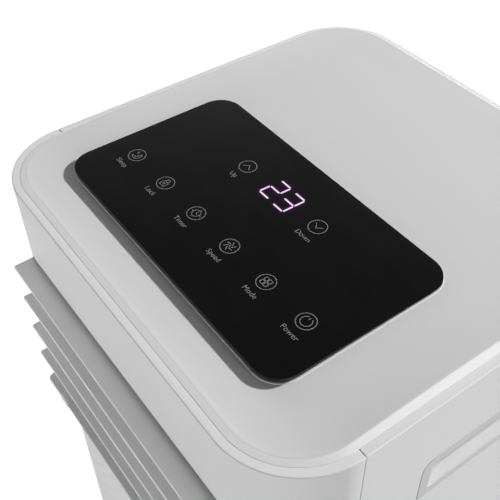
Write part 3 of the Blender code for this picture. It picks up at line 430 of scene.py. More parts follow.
def circuit_board():
    """Green lacquer over copper tracks, which run in a square grid."""
    n = Nodes("circuit_board")
    cells = n.add("ShaderNodeTexBrick", Vector=n.place, Scale=260.0, Mortar_Size=0.05)
    tracks = cells.outputs["Fac"]
    base = n.mix(tracks, (0.015, 0.12, 0.05), (0.05, 0.26, 0.10))
    return n.set(
        Base_Color=base, Roughness=n.spread(n.noise(0.003, 3), 0.3, 0.5),
        Normal=n.bump(tracks, 0.00005, 0.5),
    )


def lit_segment():
    """The display's light: nearly white in the middle of a stroke and lilac at its edges."""
    n = Nodes("lit_segment")
    core = n.tree.nodes.new("ShaderNodeAttribute")
    core.attribute_name = "core"
    flicker = n.spread(n.noise(0.002, 2), 0.94, 1.06)
    inside = n.spread(core.outputs["Fac"], 0, 1, 0.1, 0.8)
    light = n.mix(inside, (0.62, 0.24, 0.72), (1.0, 0.66, 1.0))
    return n.set(
        Base_Color=(0.05, 0.03, 0.05, 1), Emission_Color=light,
        Emission_Strength=flicker, Roughness=0.4,
    )


def halo_light():
    """Light that spreads inside the glass round a lit segment and fades with distance."""
    n = Nodes("halo_light")
    core = n.tree.nodes.new("ShaderNodeAttribute")
    core.attribute_name = "core"
    fade = n.math("POWER", core.outputs["Fac"], 5.0)
    fade = n.math("MULTIPLY", fade, n.spread(n.noise(0.003, 2), 0.13, 0.18))
    return n.set(
        Base_Color=(0.0045, 0.0045, 0.005, 1), Emission_Color=(0.62, 0.16, 0.80, 1),
        Emission_Strength=fade, Roughness=0.18, Specular_IOR_Level=0.05,
    )


WHITE = moulded("white_shell", (0.91,) * 3, 0.42, mottle=0.015)
# Darker copy of the white plastic: painted shade for the dish.
WHITE_DISH_PAINTED_SHADE = moulded("white_dish_painted_shade", (0.76,) * 3, 0.45, mottle=0.015)
# Darker copy of the white plastic: painted shade for the rear shell, which the light from behind hits
# hard.
WHITE_REAR_PAINTED_SHADE = moulded("white_rear_painted_shade", (0.87,) * 3, 0.42, mottle=0.015)
# Darker copy of the white plastic: painted shade for the handle cups.
WHITE_CUP_PAINTED_SHADE = moulded("white_cup_painted_shade", (0.70,) * 3, 0.45, mottle=0.015)
# Paler copy of the white plastic: a painted highlight for the crest band and the finger tab.
WHITE_PAINTED_HIGHLIGHT = moulded("white_painted_highlight", (0.95,) * 3, 0.38, mottle=0.01)
WHITE_INNER = moulded("white_inner", (0.77,) * 3, 0.50)
# Copy of the white plastic whose shade is tuned to how the shaded louvre tops look: painted light.
WHITE_BLADE_PAINTED_LIGHT = moulded("white_blade_painted_light", (0.86,) * 3, 0.46, grain=0.0007, depth=0.00003)
GREY = moulded("grey_plastic", (0.36, 0.37, 0.38), 0.55, mottle=0.06)
DARK = moulded("dark_plastic", (0.022, 0.022, 0.025), 0.42, mottle=0.10)
BLACK = rubber("black_rubber", (0.016, 0.016, 0.017))
TYRE = rubber("grey_tyre", (0.10, 0.10, 0.105))
LINES = (0.004, 4, (1, 40, 1))  # rolling marks in the steel, across Y
STEEL = patterned(
    "motor_steel", ((0.02, 4), (0, 0.5, 0.5, 0.8)), ((0.56, 0.56, 0.58), (0.42, 0.42, 0.435)),
    (LINES, (0.28, 0.48)), (LINES, 0.00002, 0.4), Metallic=1.0,
)
CLEAR = clear("clear_plastic", (0.80, 0.88, 0.93), 0.18)
HOSE = clear("hose_plastic", (0.72, 0.75, 0.74), 0.22)
SMEAR = (0.035, 5, (1, 2.2, 1))  # where fingers touch the black printed glass
GLASS = patterned(
    "touch_glass", (SMEAR, (0, 1)), ((0.0022, 0.0022, 0.0024), (0.0042, 0.0042, 0.0046)),
    (SMEAR, (0.10, 0.24)), ((0.05, 2), 0.00004, 0.2), Specular_IOR_Level=0.05,
)
PAD = honeycomb_paper()
ICE = patterned(
    "ice_gel", ((0.012, 5), (0, 1)), ((0.05, 0.20, 0.55), (0.16, 0.42, 0.80)),
    ((0.012, 5), (0.22, 0.38)), ((0.006, 2), 0.0002, 0.4), Subsurface_Weight=0.15,
)
BOARD = circuit_board()
NET = patterned(
    "net_fibre", ((0.01, 5), (0, 0.6, 0.5, 0.8)), ((0.045, 0.047, 0.05), (0.16, 0.155, 0.145)),
    ((0.01, 5), (0.8, 0.8)), ((0.0005, 2), 0.00005, 0.5),
)
INK = (0.0009, 3)  # thin grey ink, very slightly uneven
PRINT = patterned(
    "screen_print", (INK, (0, 1)), ((0.20, 0.20, 0.205), (0.29, 0.29, 0.295)),
    (INK, (0.3, 0.45)), (INK, 0.00001, 0.3), Specular_IOR_Level=0.2,
)
LIT = lit_segment()
HALO = halo_light()


def piece(obj, body, slot, finish, *stands_for, angle=35):
    """Finishes a piece: its material, smooth shading, body and the nodes it replaces. Its slot is not
    used.
    """
    obj.data.materials.clear()
    obj.data.materials.append(finish)
    obj.data.shade_smooth()
    obj.data.set_sharp_from_angle(angle=math.radians(angle))
    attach(obj, body)
    if stands_for:
        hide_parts(*stands_for)
    return obj


def level(obj):
    """Lets large flat faces decide the shading at their edges, so that they look flat."""
    weighted = obj.modifiers.new("weighted", "WEIGHTED_NORMAL")
    weighted.weight = 100
    weighted.keep_sharp = True
    return obj


def keep(name, finish, width=0.0005):
    """A CAD node that stays in view, with its sharp edges rounded and a better material."""
    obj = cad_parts[name]
    mesh = obj.data
    if "custom_normal" in mesh.attributes:
        mesh.attributes.remove(mesh.attributes["custom_normal"])
    mesh.shade_smooth()
    mesh.materials.clear()
    mesh.materials.append(finish)
    obj.modifiers.new("weld", "WELD").merge_threshold = 0.00001
    bevel(obj, width, 2, 40).harden_normals = True


# Shells.


def section_rings(section, outline=body_outline):
    """Rings for a loft, from a section of (inset, height) points round an outline."""
    return [[(x, y, z) for x, y in outline(inset)] for inset, z in section]


def wall_rings(low):
    """Rings of a shell's closed section, from its inner bottom edge out, up, over the rim strip
    and down its lip."""
    r, lip = EDGE_ROUND, COVER_EDGE + 0.00002
    section = [(WALL, low)] + arc((r, low + r), r, 270, 180, 3) + arc((r, RIM_Z - r), r, 180, 90, 5)
    return section_rings(section + [(lip, RIM_Z), (lip, RIM_Z - WALL), (WALL, RIM_Z - WALL)])


def clip_at(obj, y, keep_front):
    """Keeps one side of a plane across Y and closes the cut."""
    bm = bmesh.new()
    bm.from_mesh(obj.data)
    geometry = list(bm.verts) + list(bm.edges) + list(bm.faces)
    made = bmesh.ops.bisect_plane(
        bm, geom=geometry, plane_co=(0, y, 0), plane_no=(0, 1, 0),
        clear_outer=keep_front, clear_inner=not keep_front,
    )
    rim = [e for e in made["geom_cut"] if isinstance(e, bmesh.types.BMEdge)]
    bmesh.ops.holes_fill(bm, edges=rim)
    bmesh.ops.recalc_face_normals(bm, faces=bm.faces)
    bm.to_mesh(obj.data)
    bm.free()
    return obj


def make_front_shell():
    shell = clip_at(loft("front_fascia", wall_rings(SPLIT_Z), wrap=True), SEAM_FRONT, True)
    top, bottom, width = RIM_Z - 0.0604, RIM_Z - 0.2280, 2 * (OUTLET_HALF - 0.0020)
    opening = (width, top - bottom, 0.004, (0, (top + bottom) / 2), 5)
    shell = cut(shell, slab("opening", opening, FRONT_Y - 0.02, FRONT_Y + 0.03))
    level(piece(rounded(shell, 0.0006), "body", "white", WHITE, "front_shell"))


RIPPLE_CENTRE = (-0.314, RIM_Z - 0.126)  # x, z
RIPPLE_PITCH = 0.0131
RIPPLE_DEPTH = 0.0012


def ripple(x, z):
    """Depth of the wave pattern on the lower front: arcs round a point beyond the left side."""
    distance = math.hypot(x - RIPPLE_CENTRE[0], z - RIPPLE_CENTRE[1])
    phase = math.tau * distance / RIPPLE_PITCH
    wave = 0.5 + 0.5 * math.sin(phase + 0.55 * math.sin(phase))
    edge_x = ease((0.124 - abs(x)) / 0.016)
    edge_z = ease((z - TRAY_TOP - 0.012) / 0.03) * ease((SPLIT_Z - 0.006 - z) / 0.012)
    return RIPPLE_DEPTH * wave * edge_x * edge_z


def fine_front(inset):
    """The front run of the body's outline, from the left seam to the right one, with the normal
    of each point. Steps are about 2.5 mm."""
    half_x, half_y = SIDE_X - CORNER_RADIUS, BACK_Y - CORNER_RADIUS
    radius, steps = CORNER_RADIUS - inset, 90
    run = [(inset - SIDE_X, SEAM_FRONT, -1.0, 0.0)]
    for x, y in arc((0, 0), 1.0, 180, 270, 26):
        run.append((radius * x - half_x, radius * y - half_y, x, y))
    run += [(half_x * (2 * i / steps - 1), inset - BACK_Y, 0.0, -1.0) for i in range(1, steps)]
    for x, y in arc((0, 0), 1.0, 270, 360, 26):
        run.append((radius * x + half_x, radius * y - half_y, x, y))
    return run + [(SIDE_X - inset, SEAM_FRONT, 1.0, 0.0)]


def make_lower_front():
    """The lower front panel, finely meshed so that it can carry the waves."""
    low, high = (corner.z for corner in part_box("lower_front_panel"))
    r, steps = EDGE_ROUND, 150
    levels = [(low, r), (low + 0.3 * r, 0.3 * r), (low + r, 0.0)]
    levels += [(low + r + (high - low - 2 * r) * i / steps, 0.0) for i in range(1, steps)]
    levels += [(high - r, 0.0), (high - 0.3 * r, 0.3 * r), (high, r)]
    outer, inner = fine_front(0.0), fine_front(WALL)
    bm = bmesh.new()
    grid = []
    for z, inset in levels:
        grid.append([])
        for x, y, nx, ny in outer:
            depth = inset + (ripple(x, z) if ny < -0.2 else 0.0)
            grid[-1].append(bm.verts.new((x - nx * depth, y - ny * depth, z)))
    back = [[bm.verts.new((x, y, z)) for x, y, _, _ in inner] for z in (low, high)]
    skin(bm, back[:1] + grid + back[::-1], closed=False)
    for end in (0, -1):
        bm.faces.new([row[end] for row in grid] + [back[1][end], back[0][end]])
    piece(from_bmesh("lower_front_waves", bm), "body", "white", WHITE, "lower_front_panel")


def handle_outline(grow=0.0):
    """The side handle's outline in (y, z). Its upper corners are rounder than its lower ones."""
    upper, lower = 0.010 + grow, 0.005 + grow
    y, top = HANDLE_HALF + grow - upper, HANDLE_TOP + grow - upper
    points = arc((y, top), upper, 0, 90, 10) + arc((-y, top), upper, 90, 180, 10)
    y, bottom = HANDLE_HALF + grow - lower, HANDLE_BOTTOM - grow + lower
    return points + arc((-y, bottom), lower, 180, 270, 8) + arc((y, bottom), lower, 270, 360, 8)


def make_rear_shell():
    shell = clip_at(loft("rear_housing", wall_rings(TRAY_TOP + GAP), wrap=True), SEAM_REAR, False)
    for side in (-1, 1):
        low, high = sorted((side * (SIDE_X - 0.02), side * (SIDE_X + 0.02)))
        shell = cut(shell, prism("handle", [handle_outline(2 * GAP)], low, high, "X"))
    for name, bottom, gap in (("rear_grille", None, 0.001), ("tank_face", 0.060, 0.0006)):
        low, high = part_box(name)
        low = (low.x - gap, 0.150, bottom or low.z - gap)
        shell = cut(shell, box("opening", low, (high.x + gap, 0.200, high.z + 0.001)))
    shell = cut(shell, cylinder("gland", 0.0032, (0.096, 0.15, 0.218), (0.096, 0.2, 0.218), 32))
    # The rear shell takes the darker copy of the white, painted shade.
    level(piece(rounded(shell, 0.0005), "body", "white", WHITE_REAR_PAINTED_SHADE, "rear_shell"))


def make_handles():
    """Each handle is a flush cup whose back slopes in towards the top."""
    lip, wall, depth = 0.006, 0.002, 0.026
    inner_half = HANDLE_HALF - lip
    low, high = HANDLE_BOTTOM + lip, HANDLE_TOP - lip
    for name, side in (("handle_left", -1), ("handle_right", 1)):
        face, deep = side * SIDE_X, side * (SIDE_X - depth)
        near, past, back = face - side * 0.001, face + side * 0.001, deep - side * wall
        outer = [(near, low - wall), (near, high + wall), (back, high + wall), (back, high - 0.006)]
        well = [(past, low), (past, high), (deep, high), (deep, high - 0.005)]
        span = sorted((face - side * 0.002, face))
        cup = prism("cup_" + name, [handle_outline()], *span, "X")
        cup = join(cup, prism("cup", [outer], -inner_half - wall, inner_half + wall, "Y"))
        hollow = rounded(prism("well", [well], -inner_half, inner_half, "Y"), 0.0035, 4, 60)
        # The cups take the darker copy of the white, painted shade.
        level(piece(rounded(cut(cup, hollow), 0.0005), "body", "white", WHITE_CUP_PAINTED_SHADE, name))


def make_base():
    """The tray under the body, with its plinth, the tank's notch and ribs on the underside."""
    r, edge, inside = 0.0022, EDGE_ROUND, BASE_Z + 0.001
    section = [(WALL, inside), (r + 0.002, BASE_Z)] + arc((r, BASE_Z + r), r, 270, 180, 5)
    section += arc((edge, TRAY_TOP - edge), edge, 180, 90, 3) + [(WALL, TRAY_TOP)]
    tray = loft("base_skirt", section_rings(section), wrap=True)
    floor = prism("floor", [body_outline(WALL - 0.0002)], BASE_Z + 0.0002, BASE_Z + WALL)
    plinth = slab("plinth", (0.16, 0.16, 0.012), TRAY_LOW, inside, "Z")
    tray = join(tray, floor, plinth)
    for x in (-0.118, 0.118):
        for y in (-0.115, 0.115):
            tray = join(tray, cylinder("boss", 0.012, (x, y, inside), (x, y, 0.064), 40))
            tray = cut(tray, cylinder("hole", 0.0054, (x, y, 0.03), (x, y, 0.060), 40))
    for x in (-0.092, 0.092):
        tray = join(tray, box("rail", (x - 0.004, -0.062, inside), (x + 0.004, 0.155, 0.0517)))
    low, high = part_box("tank_face")
    low = (low.x - 0.0006, 0.150, low.z - 0.0006)
    tray = cut(tray, box("notch", low, (high.x + 0.0006, BACK_Y + 0.01, 0.2)))
    piece(rounded(tray, 0.0005), "body", "white", WHITE_INNER, "base_tray")


# Top cover and touch panel.

CREST_FRONT, CREST_BACK = 0.00045, COVER_HIGH.z - RIM_Z  # rise over the rim strip
CREST_RAMP = 0.12  # length of the climb from the one to the other
CREST_RUN = 0.0040  # width of the crest band
DISH_BANK = 0.030
BANK_TIGHTEN = 0.021  # how much the corner radius falls down the bank
FLOOR_FRONT, FLOOR_SLOPE = -0.0018, 0.0185


def floor_rise(y):
    return FLOOR_FRONT + FLOOR_SLOPE * (y - GLASS_LOW.y)


def crest_rise(y):
    """The crest is low along the front and climbs along the sides."""
    share = ease((y + DEPTH / 2) / CREST_RAMP)
    return CREST_FRONT + (CREST_BACK - CREST_FRONT) * share


def top_ring(inset, radius, crest, floor, offset=0.0):
    """A ring round the top, whose rise over the rim takes these shares of the crest's and the
    dish floor's. The long sides are divided, because the rise changes along them."""
    outline = rounded_rect(WIDTH - 2 * inset, DEPTH - 2 * inset, radius, steps=24)
    ring = []
    for start, end in zip(outline, outline[1:] + outline[:1]):
        steps = 26 if math.dist(start, end) > CORNER_RADIUS else 1
        for i in range(steps):
            x, y = (a + (b - a) * i / steps for a, b in zip(start, end))
            ring.append((x, y, RIM_Z + crest * crest_rise(y) + floor * floor_rise(y) + offset))
    return ring


def make_cover():
    """The crest band, which leans outward a little, and the dish inside it."""
    edge, radius = COVER_EDGE, CORNER_RADIUS - COVER_EDGE
    lip = (
        (0, 0, -WALL), (0, 0, -0.00005), (0.00004, 0, 0.00005), (0.00012, 0, 0.00015),
        (0.0034, 1, -0.00006), (0.0037, 1, -0.00002), (0.0040, 1, 0), (CREST_RUN, 0, -WALL),
    )
    rings = [top_ring(edge + run, radius - run, share, 0, rise) for run, share, rise in lip]
    # The crest band takes the paler copy of the white, a painted highlight.
    level(piece(loft("crest_band", rings, wrap=True), "body", "white", WHITE_PAINTED_HIGHLIGHT, angle=50))

    edge, radius, steps = edge + CREST_RUN, radius - CREST_RUN, 20
    rings = [top_ring(edge + DISH_BANK, radius - BANK_TIGHTEN, 0, 1, -WALL)]
    for run, sink in ((0.0, 0.0), (0.0004, 0.0), (0.0010, 0.00003), (0.0013, 0.00008)):
        rings.append(top_ring(edge + run, radius - run, 1, 0, -sink))
    for i in range(2, steps + 1):
        t = i / steps
        fall = 1 - (1 - t) ** 1.6  # steepest at the crest, level at the floor
        rings.append(top_ring(edge + DISH_BANK * t, radius - BANK_TIGHTEN * t, 1 - fall, fall))
    rings.append(top_ring(edge + DISH_BANK + 0.004, radius - BANK_TIGHTEN - 0.002, 0, 1))
    # The dish takes the darker copy of the white, painted shade.
    piece(loft("dished_top", rings), "body", "white", WHITE_DISH_PAINTED_SHADE, "top_cover", angle=50)


def make_glass():
    """The touch glass, with a softly rounded edge, and the thin bead of the cover round it."""
    size, middle = GLASS_HIGH - GLASS_LOW, (GLASS_LOW + GLASS_HIGH) / 2
    r, bead = 0.0003, 0.0003

    def outline(inset, steps=20):
        width, depth = size.x - 2 * inset, size.y - 2 * inset
        return rounded_rect(width, depth, GLASS_RADIUS - inset, middle, steps)

    section = [(0.0002, GLASS_LOW.z), (0.0, GLASS_LOW.z + 0.0002)]
    section += arc((r, GLASS_HIGH.z - r), r, 180, 90, 5)
    glass = loft("touch_panel", section_rings(section, outline))
    piece(glass, "body", "black_glass", GLASS, "control_glass", angle=60)
    path = [(x, y, RIM_Z + floor_rise(y) + 0.0001) for x, y in outline(-bead, 12)]
    piece(tube("panel_bead", path, bead, cyclic=True), "body", "white", WHITE)


PRINT_LOW = GLASS_HIGH.z - 0.00002
PRINT_HIGH = GLASS_HIGH.z + 0.00004
RING_RADIUS = 0.00605
STROKE, ICON_STROKE = 0.0005, 0.00046
PRINT_X = (GLASS_LOW.x + GLASS_HIGH.x) / 2 - 0.0007
GLASS_Y = (GLASS_LOW.y + GLASS_HIGH.y) / 2
FRONT_ROW = GLASS_Y - 0.0239
BACK_ROW = GLASS_Y + 0.0291
KEY_PITCH = 0.0368


def stroke(points, width=STROKE, closed=False):
    """A flat line of the given width with round ends, as outlines for printing."""
    outlines = []
    path = list(points) + ([points[0]] if closed else [])
    for (x0, y0), (x1, y1) in zip(path, path[1:]):
        heading = math.degrees(math.atan2(y1 - y0, x1 - x0))
        outline = arc((x1, y1), width / 2, heading - 90, heading + 90, 5)
        outlines.append(outline + arc((x0, y0), width / 2, heading + 90, heading + 270, 5))
    return outlines


def band(centre, radius, start, end, steps, width=STROKE):
    """A part of a circle as a flat line."""
    outer = arc(centre, radius + width / 2, start, end, steps)
    return [outer + arc(centre, radius - width / 2, end, start, steps)]


def icon_sleep():
    """A crescent moon, as an outline, and two small stars in its opening."""
    moon = arc((0, 0), 0.0034, -128, 52, 24) + arc((-0.0015, 0.0013), 0.00346, 24, -103, 20)
    lines = stroke(moon, 0.00048, closed=True)
    for centre, size in (((-0.0018, 0.0022), 0.0010), ((-0.0006, 0.0009), 0.0006)):
        points, notches = (arc(centre, size * k, a, a + 270, 3) for k, a in ((1, 0), (0.38, 45)))
        lines.append([point for pair in zip(points, notches) for point in pair])
    return lines


def icon_lock():
    body, key = (
        rounded_rect(width, height, radius, (-0.0002, -0.0011), steps)
        for width, height, radius, steps in ((0.0048, 0.0042, 0.0005, 3), (0.0013, 0.0013, 0.0002, 2))
    )
    shackle = [(-0.0016, 0.0010)] + arc((-0.0002, 0.0022), 0.0014, 180, 0, 8) + [(0.0012, 0.0010)]
    return stroke(body, ICON_STROKE, True) + stroke(shackle, ICON_STROKE) + stroke(key, 0.0004, True)


def icon_timer():
    lines = band((0, 0), 0.0030, 0, 359.99, 40, ICON_STROKE)
    lines += stroke([(0, 0.0018), (0, 0), (0.0013, -0.0006)], ICON_STROKE)
    for x, y in ((1, 0), (0, 1), (-1, 0), (0, -1)):
        lines += stroke([(0.0037 * x, 0.0037 * y), (0.0043 * x, 0.0043 * y)], ICON_STROKE)
    return lines


def icon_speed():
    lines = [arc((0, 0), 0.0005, 0, 345, 23)]
    for inner, outer in zip(arc((0, 0), 0.0016, 0, 300, 5), arc((0, 0), 0.0038, 42, 342, 5)):
        lines += stroke([inner, outer], 0.00056)
    return lines


def icon_mode():
    lines = []
    for place in ((-1, -1), (-1, 1), (1, -1), (1, 1)):
        place = (0.0016 * place[0], 0.0016 * place[1])
        lines += stroke(rounded_rect(0.0027, 0.0027, 0.0007, place, 4), ICON_STROKE, True)
    return lines


def icon_power():
    return band((0, 0), 0.0036, 114, 426, 48, 0.00050) + stroke([(0, 0.0018), (0, 0.0036)], 0.00050)


def icon_up(way=1):
    return stroke([(-0.0031, -0.0017 * way), (0, 0.0017 * way), (0.0031, -0.0017 * way)], 0.00052)


def icon_down():
    return icon_up(-1)


def label(name, words, x, y, size=0.0051):
    """A printed word, centred on a point."""
    text = bpy.data.curves.new(name, "FONT")
    text.body, text.size, text.space_character, text.resolution_u = words, size, 1.02, 4
    text.align_x, text.align_y = "CENTER", "CENTER"
    text.extrude = (PRINT_HIGH - PRINT_LOW) / 2
    obj = link(name, text)
    obj.location = (x, y, (PRINT_LOW + PRINT_HIGH) / 2)
    piece(bake(obj), "body", "grey", PRINT)


def make_keys():
    front = ("Sleep", "Lock", "Timer", "Speed", "Mode", "Power")
    icons = (icon_sleep, icon_lock, icon_timer, icon_speed, icon_mode, icon_power)
    keys = [(word, icon, i - 2.5, FRONT_ROW) for i, (word, icon) in enumerate(zip(front, icons))]
    keys += [("Up", icon_up, -1, BACK_ROW), ("Down", icon_down, 1, BACK_ROW)]
    for word, icon, column, y in keys:
        x = PRINT_X + column * KEY_PITCH
        outlines = band((x, y), RING_RADIUS, 0, 359.99, 72)
        outlines += [[(x + u, y + v) for u, v in outline] for outline in icon()]
        made = []  # each outline is a hair higher than the last
        for i, outline in enumerate(outlines):
            made.append(prism("print", [outline], PRINT_LOW, PRINT_HIGH + 4e-6 * i))
        piece(merged("key_" + word.lower(), made), "body", "grey", PRINT)
        label("label_" + word.lower(), word, x + 0.0007, y - 0.0122)


SEGMENTS = {  # ends of each of the seven segments, in digit widths and half heights
    "a": ((0, 2), (1, 2)), "b": ((1, 2), (1, 1)), "c": ((1, 1), (1, 0)), "d": ((0, 0), (1, 0)),
    "e": ((0, 1), (0, 0)), "f": ((0, 2), (0, 1)), "g": ((0, 1), (1, 1)),
}
DIGITS = {"2": "abged", "3": "abgcd"}
DIGIT_WIDTH, DIGIT_HALF = 0.0099, 0.0088
DIGIT_SLANT = 0.03


def glow_strip(bm, layer, start, end, z):
    """A round-ended strip whose core value falls from 1 on its middle line to 0 at its rim."""
    heading = math.degrees(math.atan2(end[1] - start[1], end[0] - start[0]))
    loops = []
    for width, core in ((0.00015, 1.0), (0.00042, 0.85), (0.00066, 0.0)):
        points = arc(end, width, heading - 90, heading + 90, 10)
        points += arc(start, width, heading + 90, heading + 270, 10)
        loops.append([bm.verts.new((x, y, z)) for x, y in points])
        for vertex in loops[-1]:
            vertex[layer] = core
    skin(bm, loops)
    bm.faces.new(loops[0])


def strip_distance(place, start, end):
    along = end - start
    t = max(0.0, min(1.0, (place - start).dot(along) / along.length_squared))
    return (place - start - along * t).length


def make_display():
    """The figures 23 in lit segments, and the light that they spread in the glass."""
    strips = []
    digits = (("2", PRINT_X - 0.0069, BACK_ROW + 0.0002), ("3", PRINT_X + 0.0081, BACK_ROW - 0.0002))
    for digit, centre_x, centre_y in digits:
        for name in DIGITS[digit]:
            ends = []
            for u, v in SEGMENTS[name]:
                x, y = (u - 0.5) * DIGIT_WIDTH, (v - 1) * DIGIT_HALF
                ends.append(Vector((centre_x + x + DIGIT_SLANT * y, centre_y + y)))
            gap = (ends[1] - ends[0]).normalized() * 0.0011
            strips.append((ends[0] + gap, ends[1] - gap))
    bm = bmesh.new()
    core = bm.verts.layers.float.new("core")
    for start, end in strips:
        glow_strip(bm, core, start, end, PRINT_HIGH)
    piece(from_bmesh("display_segments", bm), "body", "black_glass", LIT)

    bm = bmesh.new()
    core = bm.verts.layers.float.new("core")
    reach, cell = 0.0042, 0.00045
    points = [point for strip in strips for point in strip]
    low = Vector([min(point[k] for point in points) - reach for k in (0, 1)])
    high = Vector([max(point[k] for point in points) + reach for k in (0, 1)])
    columns, rows = (int(size / cell) for size in high - low)
    grid = []
    for r in range(rows + 1):
        grid.append([])
        for c in range(columns + 1):
            place = low + Vector((c, r)) * cell
            vertex = bm.verts.new((*place, GLASS_HIGH.z + 0.00001))
            vertex[core] = max(0.0, 1 - min(strip_distance(place, *s) for s in strips) / reach)
            grid[-1].append(vertex)
    skin(bm, grid, closed=False)
    unlit = [face for face in bm.faces if max(v[core] for v in face.verts) <= 0]
    bmesh.ops.delete(bm, geom=unlit, context="FACES")
    piece(from_bmesh("display_halo", bm), "body", "black_glass", HALO)


# Air outlet.


def blade_section(tip, tail, thick):
    """A louvre's section in (y, z): a plate with a full round nose and a thicker root."""
    nose = thick * 0.40
    points = arc((nose - tip, 0), nose, 90, 270, 10)
    points += [(-0.018, -0.47 * thick), (-0.004, -0.5 * thick)]
    points += arc((tail - nose, 0), nose, -90, 90, 8)
    return points + [(-0.004, 0.5 * thick), (-0.018, 0.47 * thick)]


def blade_ring(section, x, shrink, tip):
    """The section at x, with its nose drawn back to round the blade's corners."""
    points = []
    for y, z in section:
        forward = max(0.0, -y / tip)
        points.append((x, y + shrink * forward, z * (1 - 0.15 * min(1, shrink / 0.004))))
    return points


def make_louvres():
    """Each louvre, with its pins and its crank, is drawn at the pivot and then put in place."""
    tail, thick, half, right_corner, crank_y = 0.007, 0.0026, 0.1246, 0.0022, 0.012
    hub, right_end = -OUTLET_HALF - GAP, OUTLET_HALF - GAP
    for i in range(1, LOUVRES + 1):
        name, last = f"louvre_{i}", i == LOUVRES
        tip = LOUVRE_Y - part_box(name)[0].y
        section = blade_section(tip - (0.0001 if last else 0), tail, thick)
        corner = 0.0046 if last else 0.0012
        span = arc((corner - half, corner), corner, 180, 270, 8)
        span += arc((half - right_corner, right_corner), right_corner, 270, 360, 8)
        arm = arc((0, 0), 0.0032, 90, 270, 10) + arc((crank_y, 0), 0.0026, 270, 450, 10)
        parts = [
            loft(name + "_blade", [blade_ring(section, x, shrink, tip) for x, shrink in span]),
            cylinder("pin", 0.0020, (half - 0.004, 0, 0), (right_end, 0, 0), 24),
            cylinder("pin", 0.0020, (hub - 0.0014, 0, 0), (0.004 - half, 0, 0), 24),
            rounded(prism("crank", [arm], hub - 0.0028, hub, "X"), 0.0004, 2),
            cylinder("stud", 0.0014, (hub - 0.0063, crank_y, 0), (hub - 0.0014, crank_y, 0), 20),
        ]
        # The blades take the copy of the white tuned for their light, painted light.
        made = [(merged(name + "_blade", parts), WHITE_BLADE_PAINTED_LIGHT, name)]
        if last:
            left, right, eye_y, eye_z = -0.102, -0.090, 0.0023 - tip, -0.0028
            tab = rounded(box("tab", (left, -tip, -0.0048), (right, 0.0068 - tip, 0.0027)), 0.0012, 4)
            eye = cylinder("eye", 0.0012, (left - 1, eye_y, eye_z), (right + 1, eye_y, eye_z), 24)
            # The tab takes the paler copy of the white, a painted glint.
            made.insert(0, (merged("finger_tab", [cut(tab, eye)]), WHITE_PAINTED_HIGHLIGHT))
        for obj, finish, *stands_for in made:
            place = (0, LOUVRE_Y, LOUVRE_TOP - LOUVRE_PITCH * (i - 1))
            obj.data.transform(Matrix.Translation(place))
            piece(obj, name, "white", finish, *stands_for)


# Rear cassette.


def hoop(name, size, outer, inner, low, high, steps):
    """A rounded frame along Y. Size is its width, height and middle. Outer and inner are how
    much smaller than that an outline is, and its corner radius."""
    width, height, middle = size
    outlines = [
        rounded_rect(width - less, height - less, radius, (0, middle), steps)
        for less, radius in (outer, inner)
    ]
    return prism(name, outlines, low, high, "Y")


def make_grille():
    """The rear grille: a rounded frame with round-backed bars and upright ribs behind them."""
    low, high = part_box("rear_grille")
    half, middle, size_z = high.x, (low.z + high.z) / 2, high.z - low.z
    margin, rows = 0.010, 36
    size = (2 * half, size_z, middle)
    rim = hoop("grille", size, (0, 0.006), (2 * margin, 0.003), high.y - 0.005, high.y, 8)
    rim = join(rim, hoop("wall", size, (0.002, 0.005), (0.007, 0.0025), low.y, high.y - 0.003, 8))
    parts = [rounded(rim, 0.0007)]
    reach = half - margin + 0.001
    for row in range(1, rows):
        z = low.z + margin + (size_z - 2 * margin) * row / rows
        section = arc((high.y - 0.0016, z), 0.0013, -90, 90, 6)
        section += [(high.y - 0.0046, z + 0.0009), (high.y - 0.0046, z - 0.0009)]
        parts.append(prism("bar", [section], -reach, reach, "X"))
    for x in (-half / 3 + 0.0033, half / 3 - 0.0033):
        rib, ends = (0.0036, 0.0044, 0.0010, (x, high.y - 0.0026), 4), margin - 0.001
        parts.append(slab("rib", rib, low.z + ends, high.z - ends, "Z"))
    piece(merged("rear_grille_fine", parts), "cassette", "white", WHITE, "rear_grille")


def make_filter():
    """The dust filter's net, behind its CAD frame."""
    low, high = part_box("dust_filter")
    wire, pitch, margin = 0.00034, 0.0024, 0.003
    centre, reach = (low + high) / 2, (high - low) / 2 - Vector((margin, 0, margin))
    bm = bmesh.new()
    for across, along in ((0, 2), (2, 0)):
        count = int(2 * reach[across] / pitch)
        for i in range(1, count):
            place, size = centre.copy(), Vector((wire, wire, wire))
            place[across] += reach[across] * (2 * i / count - 1)
            size[along] = 2 * reach[along]
            where = Matrix.Translation(place) @ Matrix.Diagonal((*size, 1))
            bmesh.ops.create_cube(bm, size=1.0, matrix=where)
    piece(from_bmesh("filter_net", bm), "cassette", "dark", NET)


def make_pad():
    """The cooling pad: wavy paper sheets, side by side, with flutes that lean both ways."""
    low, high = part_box("cooling_pad")
    sheets, wave_length, rows, columns = 28, 0.0140, 208, 7
    pitch = (high.x - low.x) / sheets
    amplitude = pitch / 2 - 0.0002
    bm = bmesh.new()
    for s in range(sheets):
        centre, lean = low.x + pitch * (s + 0.5), 0.75 if s % 2 else -0.75
        grid = []
        for r in range(rows + 1):
            z = low.z + (high.z - low.z) * r / rows
            grid.append([])
            for c in range(columns + 1):
                y = low.y + (high.y - low.y) * c / columns
                phase = math.tau * (z + lean * (y - low.y)) / wave_length
                grid[-1].append(bm.verts.new((centre + amplitude * math.sin(phase), y, z)))
        skin(bm, grid, closed=False)
    pad = from_bmesh("paper_pad", bm)
    solid = pad.modifiers.new("thickness", "SOLIDIFY")
    solid.thickness, solid.offset = 0.00035, 0
    piece(bake(pad), "cassette", "pad", PAD, "cooling_pad")


# Tank.

